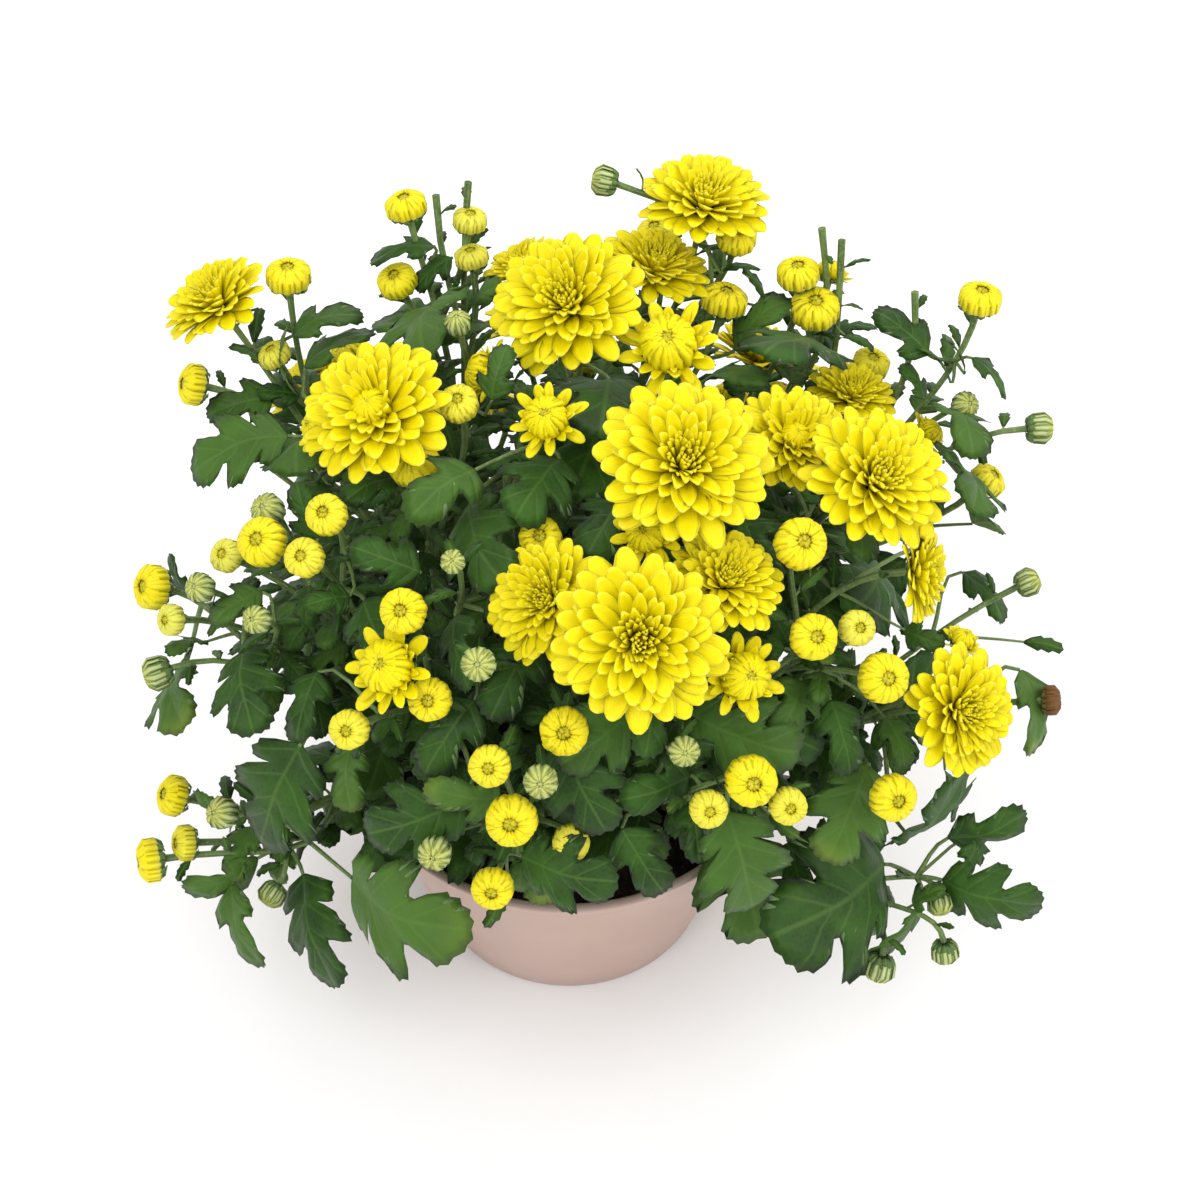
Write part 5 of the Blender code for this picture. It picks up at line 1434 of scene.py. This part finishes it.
class BlankTree(ShapeTree):
    """A tree that lays a blank on every point it is given, and then bends each copy to its own form."""

    def copies_of(self, blank, points):
        """The blank on every point. Each copy keeps its lay in the blank and what its point carries."""
        flat = self.node("GeometryNodeObjectInfo", {}, {"Object": blank}, 4)
        flat = self.store(flat, "blank", self.node("GeometryNodeInputPosition"), "FLOAT_VECTOR")
        made = self.node("GeometryNodeInstanceOnPoints", {}, {"Points": points, "Instance": flat})
        return self.node("GeometryNodeRealizeInstances", {}, {"Geometry": made})

    def lay(self):
        """Where each point lies in its blank: how far along, how far aside, and on which skin."""
        blank = self.kept("blank")
        return blank.part("X"), blank.part("Y"), blank.part("Z")

    def moved(self, place, way, amount):
        """A place moved along a direction."""
        return self.vector("ADD", place, self.times(way, amount))

    def close_at(self, copies, place):
        """Ends the tree with every point of the copies at its own place."""
        made = self.node("GeometryNodeSetPosition", {}, {"Geometry": copies, "Position": place})
        made = self.node("GeometryNodeSetShadeSmooth", {}, {"Geometry": made})
        return self.close(made, self.given["Finish"])


def leaf_tree():
    """Hangs a blank leaf on every point: bent from root to tip, its sides drooping, waved and folded."""
    sizes = dict.fromkeys(("Arch", "Droop", "Wave", "Fold", "Thickness"), "Float")
    tree = BlankTree("leaf_blades", {"Blank": "Object", "Finish": "Material", **sizes})
    given = tree.given
    hung = tree.copies_of(given["Blank"], given["Geometry"])
    root, tip, normal = [tree.kept(name) for name in ("root", "tip", "normal")]
    luck = tree.kept("luck", "FLOAT")
    u, v, skin = tree.lay()
    span = tree.vector("SUBTRACT", tip, root)
    length = tree.vector("LENGTH", span, output=1)
    along = tree.vector("NORMALIZE", span)
    side = tree.vector("CROSS_PRODUCT", normal, along)
    rise = u * (1 - u) * 4 * (given["Arch"] * (luck * 0.5 + 0.75))
    rise -= v * v * given["Droop"]
    rise += abs(v) * given["Fold"] * (luck * 1.6 - 0.4)
    lengthwise, crosswise = BLADE_RIPPLES
    ripple = (u * EDGE_RIPPLES + luck * 40).sin() * (abs(v) * 4).at_most(1)
    ripple += (v * crosswise + u * lengthwise + luck * 70).sin()
    rise += ripple * given["Wave"]
    rise += u * v * ((luck * 31).sin() * LEAF_TWIST) * 2
    place = tree.moved(root, along, u * length)
    place = tree.moved(place, side, v * length)
    place = tree.moved(place, normal, rise * length + skin * given["Thickness"] * 0.5)
    return tree.close_at(hung, place)


leaf_blades = leaf_tree()
LEAF_FORMS = [
    (form, leaf_blank(f"{form}_leaf_blank", rows, columns), leaf_finish(f"{form}_leaf", veins))
    for form, rows, columns, veins in (
        ("large", LARGE_LEAF_ROWS, LARGE_LEAF_COLUMNS, LARGE_LEAF_VEINS),
        ("small", SMALL_LEAF_ROWS, SMALL_LEAF_COLUMNS, SMALL_LEAF_VEINS),
        ("tiny", TINY_LEAF_ROWS, TINY_LEAF_COLUMNS, ()),
    )
]


def form_of(blade):
    """Which blank a leaf of that length is cut from."""
    length = (blade.tip - blade.root).length
    if length > LARGE_LEAF_LENGTH:
        return "large"
    return "small" if length > TINY_LEAF_LENGTH else "tiny"


for stem in FEET:
    for form, blank, finish in LEAF_FORMS:
        rng = random.Random(f"{stem} {form}")
        readings = {"root": [], "tip": [], "normal": [], "luck": []}
        for blade in blades + sprigs:
            if blade.stem != stem or form_of(blade) != form:
                continue
            along = (blade.tip - blade.root).normalized()
            normal = (blade.normal - along * blade.normal.dot(along)).normalized()
            readings["root"].append(blade.root)
            readings["tip"].append(blade.tip)
            readings["normal"].append(normal)
            readings["luck"].append(rng.random())
        if not readings["root"]:
            continue
        mesh = start_mesh(f"{stem}_{form}_leaves", readings["root"], [], readings)
        piece = grown(
            f"{stem}_{form}_leaves", mesh, leaf_blades,
            {"Blank": blank, "Arch": LEAF_ARCH, "Droop": LEAF_DROOP, "Wave": LEAF_WAVE, "Fold": LEAF_FOLD,
             "Thickness": LEAF_THICKNESS, "Finish": finish},
        )
        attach(piece, "root")
        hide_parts(stem)
for _, blank, _ in LEAF_FORMS:
    bpy.data.objects.remove(blank)

# The flower heads: open double blooms, half-open ones, tight yellow buds and green buds. Each is a
# spiral of thin florets over a cup of green bracts, and grows out of the end of its stalk.
GOLDEN_TURN = math.radians(137.508)
FLORET_ROWS = (0, 0.3, 0.58, 0.78, 0.92, 0.985, 1)
FLORET_COLUMNS = (-1, -0.55, 0, 0.55, 1)
FINE_ROWS = (0, 0.3, 0.6, 0.82, 0.95, 1)
FINE_COLUMNS = (-1, 0, 1)
TINY_ROWS = (0, 0.45, 0.85, 1)
FLORET_SHOULDER = 0.66
FLORET_END = 0.343
FLORET_FOOT = 0.32
FLORET_FULL = 0.7
FLORET_ROLL = 4.8
LEAN_STRAY = 2
CURL_STRAY = 3
SHARE_POWERS = {"Foot": 0.8, "Lean": 0.75, "Length": 0.45, "Width": 0.8}
WHORL_SIZES = ("Foot", "Height", "Lean", "Curl", "Length", "Width", "Hood")
WHORL_REST = {"Taper": 0.0, "Ragged": 0.06, "Thickness": 0.02}
RIPE_ACROSS = (9, 13)
WILTED_BUD = (1054, 700)
CUSHIONED = ((372, 408), (795, 437))
PETAL_VEINS = 26
PETAL_BUMP = 0.12 * MM
BUD_BUMP = 0.15 * MM
FINE_BUMP = 0.1 * MM
SHINE = {"Specular_IOR_Level": 0.2}
PETAL_BRIGHT = colour(244, 230, 10)
PETAL_MID = colour(236, 218, 4)
# A deeper yellow; on the open florets it is also painted shade at their base
PETAL_DEEP_AND_SHADE = colour(222, 190, 0)
# A paler yellow; on the open florets' thin edges it is a painted highlight
PETAL_PALE_AND_HIGHLIGHT = colour(248, 240, 84)
BUD_PALE = colour(206, 212, 104)
BUD_SIDE = colour(240, 230, 92)
BUD_BASE = colour(156, 164, 84)
BUD_PIT = colour(196, 180, 10)
PIT_PALE = colour(206, 196, 40)
PIT_DEEP = colour(182, 170, 12)
BUTTON_PALE = colour(190, 198, 140)
BUTTON_GREEN = colour(112, 140, 62)
BUTTON_TOP = colour(190, 194, 92)
BRACT_GREEN = colour(84, 116, 58)
BRACT_EDGE = colour(150, 160, 108)
BRACT_TIP = colour(104, 76, 48)
DISC_OLIVE = colour(128, 118, 24)
DISC_BROWN = colour(176, 120, 14)
WILT_BROWN = colour(112, 78, 40)


def yellow_petal(tree):
    """Open florets: a deeper yellow at the base, partly their own and partly painted shade, bright on the
    blade, with fine veins and a pale thin edge of painted highlight.
    """
    along, across = lay_of(tree)
    share, luck = tree.reading("share"), tree.reading("luck")
    # Partly the florets' own warmer base and partly painted shade: darker towards the foot of each floret,
    # most on the inner ones.
    base_tone_and_shade = along.rise(0.55, 0.0)
    cloud = tree.speckle(150, 3).rise(0.3, 0.7)
    veins = (tree.reading("blank", "Vector").part("Y") * PETAL_VEINS).sin() * 0.5 + 0.5
    # Painted highlight: the thin edge and tip of each floret are painted paler.
    edge = across.rise(0.8, 1.0).at_least(along.rise(0.93, 1.0)) * along.rise(0.2, 0.5)
    body = tree.mix((cloud * 0.5 + luck * 0.5), PETAL_MID, PETAL_BRIGHT)
    body = tree.mix(base_tone_and_shade * (1 - share * 0.5), body, PETAL_DEEP_AND_SHADE)
    body = tree.mix(veins * 0.12 * along, body, PETAL_DEEP_AND_SHADE)
    body = tree.mix(edge * 0.55, body, PETAL_PALE_AND_HIGHLIGHT)
    body = tree.mix(tree.reading("wilt"), body, WILT_BROWN)
    return {
        "Base Color": body,
        "Roughness": 0.42 + cloud * 0.15,
        "Normal": tree.bump(veins * 0.6 + tree.speckle(900, 2) * 0.4, PETAL_BUMP, 0.6),
    }


def bud_petal(tree):
    """The florets of a tight bud: green-yellow at the foot, yellow over the crown, olive in the dimple."""
    along, across = lay_of(tree)
    ripe, luck = tree.reading("ripe"), tree.reading("luck")
    cloud = tree.speckle(300, 3).rise(0.3, 0.7)
    body = tree.mix(ripe, BUD_PALE, PETAL_MID)
    body = tree.mix(cloud * 0.15 + luck * 0.15, body, PETAL_PALE_AND_HIGHLIGHT)
    body = tree.mix(along.rise(0.45, 0.2) * ripe, body, BUD_SIDE)
    body = tree.mix(along.rise(0.34, 0.1) * (1 - ripe * 0.2), body, BUD_BASE)
    body = tree.mix(across.rise(0.6, 1.0) * 0.1, body, PETAL_DEEP_AND_SHADE)
    body = tree.mix(along.rise(0.84, 1.0) * 0.5, body, BUD_PIT)
    body = tree.mix(tree.reading("wilt"), body, WILT_BROWN)
    return {
        "Base Color": body,
        "Roughness": 0.5 + cloud * 0.15,
        "Normal": tree.bump(tree.speckle(1500, 3), BUD_BUMP, 0.6),
    }


def button_petal(tree):
    """The florets of a green bud: pale ribs with green between."""
    along, across = lay_of(tree)
    cloud = tree.speckle(400, 3).rise(0.3, 0.7)
    body = tree.mix(across.rise(0.3, 0.8), BUTTON_PALE, BUTTON_GREEN)
    body = tree.mix(cloud * 0.2, body, BUTTON_GREEN)
    body = tree.mix(along.rise(0.55, 0.85) * 0.7, body, BUTTON_TOP)
    grain = tree.bump(tree.speckle(1800, 3), FINE_BUMP)
    return {"Base Color": body, "Roughness": cloud * 0.1 + 0.55, "Normal": grain}


def green_bract(tree):
    """Bracts under a head: green keel, papery pale edge, browned tip."""
    along, across = lay_of(tree)
    cloud = tree.speckle(500, 3).rise(0.3, 0.7)
    body = tree.mix(across.rise(0.45, 0.95) * 0.8, BRACT_GREEN, BRACT_EDGE)
    body = tree.mix(along.rise(0.82, 1.0) * 0.5 * cloud, body, BRACT_TIP)
    body = tree.mix(tree.reading("wilt") * 0.7, body, WILT_BROWN)
    grain = tree.bump(tree.speckle(1600, 3), PETAL_BUMP)
    return {"Base Color": body, "Roughness": cloud * 0.15 + 0.55, "Normal": grain}


def disc_floret(tree):
    """The tight middle of an open bloom: olive to orange-brown."""
    luck = tree.reading("luck")
    along = tree.reading("blank", "Vector").part("X")
    body = tree.mix(luck.rise(0.2, 0.8), DISC_OLIVE, DISC_BROWN)
    body = tree.mix(along.rise(0.75, 1.0) * 0.5, body, PETAL_DEEP_AND_SHADE)
    grain = tree.bump(tree.speckle(1800, 3), FINE_BUMP)
    return {"Base Color": body, "Roughness": luck * 0.1 + 0.6, "Normal": grain}


def bud_pit(tree):
    """The florets that are still shut, in the dimple of a bud: olive-yellow."""
    body = tree.mix(tree.reading("luck"), PIT_PALE, PIT_DEEP)
    body = tree.mix(tree.reading("wilt"), body, WILT_BROWN)
    grain = tree.speckle(1800, 3)
    return {"Base Color": body, "Roughness": grain * 0.1 + 0.55, "Normal": tree.bump(grain, FINE_BUMP)}


def floret_blank(name, rows, columns):
    """A floret laid flat, one unit long and one unit to each side, closed at both ends."""
    table = [[(row, column) for column in columns] for row in rows]
    return closed_sheet(name, table, lambda i: i in (0, len(rows) - 1))


def whorl_tree():
    """A spiral of florets on every head: each floret leans, curls, widens and hoods by its own share.

    Sizes are shares of the head's radius; In is the innermost floret and Out the outermost."""
    inputs = {"Blank": "Object", "Florets": "Int", "Seed": "Int", "Finish": "Material"}
    inputs.update((f"{label} {end}", "Float") for label in WHORL_SIZES for end in ("In", "Out"))
    tree = BlankTree("whorl", {**inputs, **dict.fromkeys(WHORL_REST, "Float")})
    given = tree.given
    amount = {"Geometry": given["Geometry"], "Amount": given["Florets"]}
    spots = tree.node("GeometryNodeDuplicateElements", {"domain": "POINT"}, amount)
    order = Value(tree, spots.socket.node.outputs[1])
    luck, stray, reach = [tree.chance(0.0, 1.0, given["Seed"] + k) for k in (1, 2, 3)]
    spots = tree.store(spots, "share", (order + 0.5) / given["Florets"])
    spots = tree.store(spots, "turn", order * GOLDEN_TURN + tree.kept("spin", "FLOAT"))
    spots = tree.store(spots, "luck", luck)
    spots = tree.store(spots, "stray", stray - 0.5)
    spots = tree.store(spots, "reach", reach - 0.5)
    spots = tree.store(spots, "seat", tree.node("GeometryNodeInputPosition"), "FLOAT_VECTOR")
    made = tree.copies_of(given["Blank"], spots)
    share, turn, stray, reach = [tree.kept(name, "FLOAT") for name in ("share", "turn", "stray", "reach")]
    u, v, skin = tree.lay()

    def between(label):
        """A size of a floret: from the innermost one's to the outermost one's, by its share."""
        amount = share ** SHARE_POWERS[label] if label in SHARE_POWERS else share
        return given[f"{label} In"] + (given[f"{label} Out"] - given[f"{label} In"]) * amount

    # The floret's middle line is an arc. Its chord comes from the first terms of a series.
    ragged = given["Ragged"]
    lean = between("Lean") + stray * ragged * LEAN_STRAY
    bent = (between("Curl") + reach * ragged * CURL_STRAY) * u
    chord = u * (between("Length") * (1 + reach * ragged)) * (1 - bent**2 / 24 + bent**4 / 1920)
    heading = lean + bent * 0.5
    swell = FLORET_FOOT + (1 - FLORET_FOOT) * ((u / FLORET_FULL).at_most(1) * (math.pi / 2)).sin()
    rounding = ((u - FLORET_SHOULDER).at_least(0) / FLORET_END) ** 2
    half = between("Width") * swell * (1 - rounding).at_least(0).root() * (1 - given["Taper"] * u)
    roll = stray * ragged * FLORET_ROLL * v * half
    lift = between("Hood") * v * v * half + skin * given["Thickness"] + roll
    out = between("Foot") + chord * heading.sin() - (lean + bent).cos() * lift
    high = between("Height") + chord * heading.cos() + (lean + bent).sin() * lift
    facing, first = tree.kept("facing"), tree.kept("first")
    second = tree.vector("CROSS_PRODUCT", facing, first)
    ray = tree.moved(tree.times(first, turn.cos()), second, turn.sin())
    edge = tree.moved(tree.times(second, turn.cos()), first, -turn.sin())
    place = tree.moved(tree.times(ray, out), edge, v * half)
    place = tree.moved(place, facing, high)
    place = tree.moved(tree.kept("seat"), place, tree.kept("radius_of_head", "FLOAT"))
    return tree.close_at(made, place)


PETAL_BLANK = floret_blank("petal_blank", FLORET_ROWS, FLORET_COLUMNS)
FINE_BLANK = floret_blank("fine_blank", FINE_ROWS, FINE_COLUMNS)
TINY_BLANK = floret_blank("tiny_blank", TINY_ROWS, FINE_COLUMNS)
yellow = finish_of("yellow_petal", yellow_petal, **SHINE)
bud_yellow = finish_of("bud_petal", bud_petal, **SHINE)
button = finish_of("button_petal", button_petal, Specular_IOR_Level=0.35)
bract = finish_of("green_bract", green_bract, Specular_IOR_Level=0.35)
pit = finish_of("bud_pit", bud_pit, Specular_IOR_Level=0.3)
disc = finish_of("disc_floret", disc_floret, Specular_IOR_Level=0.3)
whorl = whorl_tree()


def whorl_of(blank, florets, finish, seed, **sizes):
    """The settings of one whorl. A pair gives the inner and the outer floret's size, one number both's."""
    values = {"Blank": blank, "Florets": florets, "Finish": finish, "Seed": seed}
    for label, size in {**WHORL_REST, **sizes}.items():
        if label in WHORL_REST:
            values[label] = size
        else:
            inner, outer = size if isinstance(size, tuple) else (size, size)
            values[f"{label} In"], values[f"{label} Out"] = inner, outer
    return values


def shut_florets(florets, finish, seed, **sizes):
    """The florets in a head's dimple that are still shut: flat, under the rim of the shell."""
    return whorl_of(TINY_BLANK, florets, finish, seed, Lean=(-1.25, -1.3), Curl=-0.3, **sizes)


OUTER_PETALS = whorl_of(
    PETAL_BLANK, 47, yellow, 10, Foot=(0.1, 0.17), Height=(0.08, 0.02), Lean=(0.82, 1.14), Curl=(0.2, 0.55),
    Length=(0.76, 0.93), Width=(0.125, 0.175), Hood=(0.35, 0.12), Ragged=0.15,
)
MIDDLE_PETALS = whorl_of(
    PETAL_BLANK, 44, yellow, 11, Foot=(0.06, 0.12), Height=(0.12, 0.08), Lean=(0.42, 0.9), Curl=(0.0, 0.4),
    Length=(0.52, 0.78), Width=(0.06, 0.125), Hood=(0.6, 0.35), Ragged=0.14,
)
FLAT_BRACTS = whorl_of(
    TINY_BLANK, 18, bract, 30, Foot=(0.08, 0.12), Height=(0.0, -0.04), Lean=(1.0, 1.2), Curl=0.1,
    Length=(0.3, 0.24), Width=(0.07, 0.06), Hood=0.3,
)
HEADS = {
    "open": [
        OUTER_PETALS,
        MIDDLE_PETALS,
        whorl_of(FINE_BLANK, 62, yellow, 12, Foot=(0.05, 0.09), Height=(0.2, 0.12), Lean=(0.12, 0.5),
                 Curl=(-0.4, 0.1), Length=(0.36, 0.52), Width=(0.03, 0.06), Hood=(0.6, 0.5), Ragged=0.12),
        whorl_of(TINY_BLANK, 21, disc, 20, Foot=(0.0, 0.06), Height=(0.3, 0.28), Lean=(0.0, 0.1),
                 Curl=0.0, Length=(0.2, 0.24), Width=(0.02, 0.025), Hood=0.6),
        FLAT_BRACTS,
    ],
    "cushioned": [
        OUTER_PETALS,
        MIDDLE_PETALS,
        whorl_of(FINE_BLANK, 34, yellow, 13, Foot=(0.11, 0.14), Height=(0.18, 0.14), Lean=(1.0, 1.3),
                 Curl=(-2.7, -3.0), Length=(0.52, 0.6), Width=(0.04, 0.05), Hood=(0.4, 0.3), Ragged=0.03),
        shut_florets(10, pit, 21, Foot=(0.08, 0.09), Height=(0.44, 0.43), Length=(0.09, 0.1),
                     Width=(0.03, 0.035), Hood=0.1),
        FLAT_BRACTS,
    ],
    "half": [
        whorl_of(PETAL_BLANK, 13, yellow, 40, Foot=(0.2, 0.28), Height=(0.12, 0.04), Lean=(0.85, 1.15),
                 Curl=(0.1, 0.4), Length=(0.74, 0.86), Width=(0.13, 0.165), Hood=(0.4, 0.2), Ragged=0.2),
        whorl_of(PETAL_BLANK, 13, yellow, 41, Foot=(0.2, 0.25), Height=(0.16, 0.12), Lean=(0.62, 0.9),
                 Curl=(0.0, 0.2), Length=(0.58, 0.7), Width=(0.08, 0.11), Hood=(0.7, 0.5), Ragged=0.16),
        whorl_of(FINE_BLANK, 55, yellow, 50, Foot=(0.26, 0.31), Height=(0.2, 0.14), Lean=(1.15, 1.35),
                 Curl=(-2.9, -3.0), Length=(0.98, 1.08), Width=(0.085, 0.1), Hood=(0.15, 0.1), Ragged=0.03),
        shut_florets(13, pit, 60, Foot=(0.2, 0.22), Height=(0.82, 0.8), Length=(0.2, 0.22),
                     Width=(0.08, 0.09), Hood=0.05),
        whorl_of(TINY_BLANK, 22, bract, 70, Foot=(0.2, 0.3), Height=(0.02, -0.05), Lean=(1.35, 1.5),
                 Curl=(-1.4, -1.3), Length=(0.6, 0.42), Width=(0.14, 0.12), Hood=0.4),
    ],
    "yellow": [
        whorl_of(FINE_BLANK, 55, bud_yellow, 80, Foot=(0.45, 0.52), Height=(0.13, 0.06), Lean=(1.42, 1.52),
                 Curl=(-3.3, -3.45), Length=(1.66, 1.76), Width=(0.17, 0.2), Hood=0.02, Taper=0.2,
                 Ragged=0.02, Thickness=0.03),
        shut_florets(17, pit, 90, Foot=(0.38, 0.4), Height=(1.03, 1.01), Length=(0.38, 0.4),
                     Width=(0.12, 0.14), Hood=0.05),
        whorl_of(TINY_BLANK, 18, bract, 100, Foot=(0.36, 0.5), Height=(0.02, -0.06), Lean=(1.5, 1.6),
                 Curl=(-1.6, -1.5), Length=(0.92, 0.62), Width=(0.2, 0.17), Hood=0.3, Thickness=0.03),
    ],
    "green": [
        whorl_of(FINE_BLANK, 21, button, 110, Foot=(0.26, 0.32), Height=(0.12, 0.06), Lean=(1.4, 1.48),
                 Curl=(-3.05, -3.1), Length=(2.2, 2.34), Width=(0.21, 0.25), Hood=-0.3, Taper=0.1,
                 Ragged=0.02, Thickness=0.04),
        shut_florets(9, button, 111, Foot=(0.22, 0.24), Height=(1.52, 1.5), Length=(0.22, 0.24),
                     Width=(0.1, 0.12), Hood=0.1),
        whorl_of(TINY_BLANK, 20, bract, 120, Foot=(0.26, 0.4), Height=(0.02, -0.08), Lean=(1.5, 1.6),
                 Curl=(-1.6, -1.5), Length=(1.15, 0.75), Width=(0.24, 0.2), Hood=0.3, Thickness=0.03),
    ],
}


def head_tree(kind):
    """The whorls of one kind of head, from its middle out to its bracts, put together."""
    tree = ShapeTree(f"{kind}_head", {})
    joined = tree.node("GeometryNodeJoinGeometry")
    for values in HEADS[kind]:
        values = {**values, "Geometry": tree.given["Geometry"]}
        layer = tree.node("GeometryNodeGroup", {"node_tree": whorl.nodes}, values)
        tree.nodes.links.new(layer.socket, joined.socket.node.inputs[0])
    return tree.close(joined)


def head_start(name, heads):
    """The points that heads grow from, with the way each faces, its radius and its ripeness."""
    green, ripe = RIPE_ACROSS
    readings = {"facing": [], "first": [], "radius_of_head": [], "spin": [], "ripe": [], "wilt": []}
    for seated in heads:
        rng = random.Random(f"{seated.head.px} {seated.head.py} {seated.head.kind}")
        readings["facing"].append(seated.facing)
        readings["first"].append(aside(seated.facing))
        readings["radius_of_head"].append(seated.head.across * MM / 2)
        readings["spin"].append(rng.uniform(0, math.tau))
        readings["ripe"].append(min(1.0, max(0.0, (seated.head.across - green) / (ripe - green))))
        readings["wilt"].append(1.0 if (seated.head.px, seated.head.py) == WILTED_BUD else 0.0)
    return start_mesh(name, [seated.seat for seated in heads], [], readings)


head_trees = {kind: head_tree(kind) for kind in HEADS}
for kind, word in (("yellow", "yellow_buds"), ("green", "green_buds")):
    for stem in FEET:
        mine = [seated for seated in seats if seated.node == stem and seated.head.kind == kind]
        if not mine:
            continue
        piece = grown(f"{stem}_{word}", head_start(f"{stem}_{word}", mine), head_trees[kind], {})
        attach(piece, "root")
        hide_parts(stem)
        "petals" if kind == "yellow" else "foliage"
for seated in seats:
    if seated.head.kind in BLOOM_KINDS:
        name = f"{seated.node}_florets"
        is_cushioned = (seated.head.px, seated.head.py) in CUSHIONED
        kind = "cushioned" if is_cushioned else seated.head.kind
        piece = grown(name, head_start(name, [seated]), head_trees[kind], {})
        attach(piece, "root")
        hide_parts(seated.node)
for blank in (PETAL_BLANK, FINE_BLANK, TINY_BLANK):
    bpy.data.objects.remove(blank)

low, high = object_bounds()
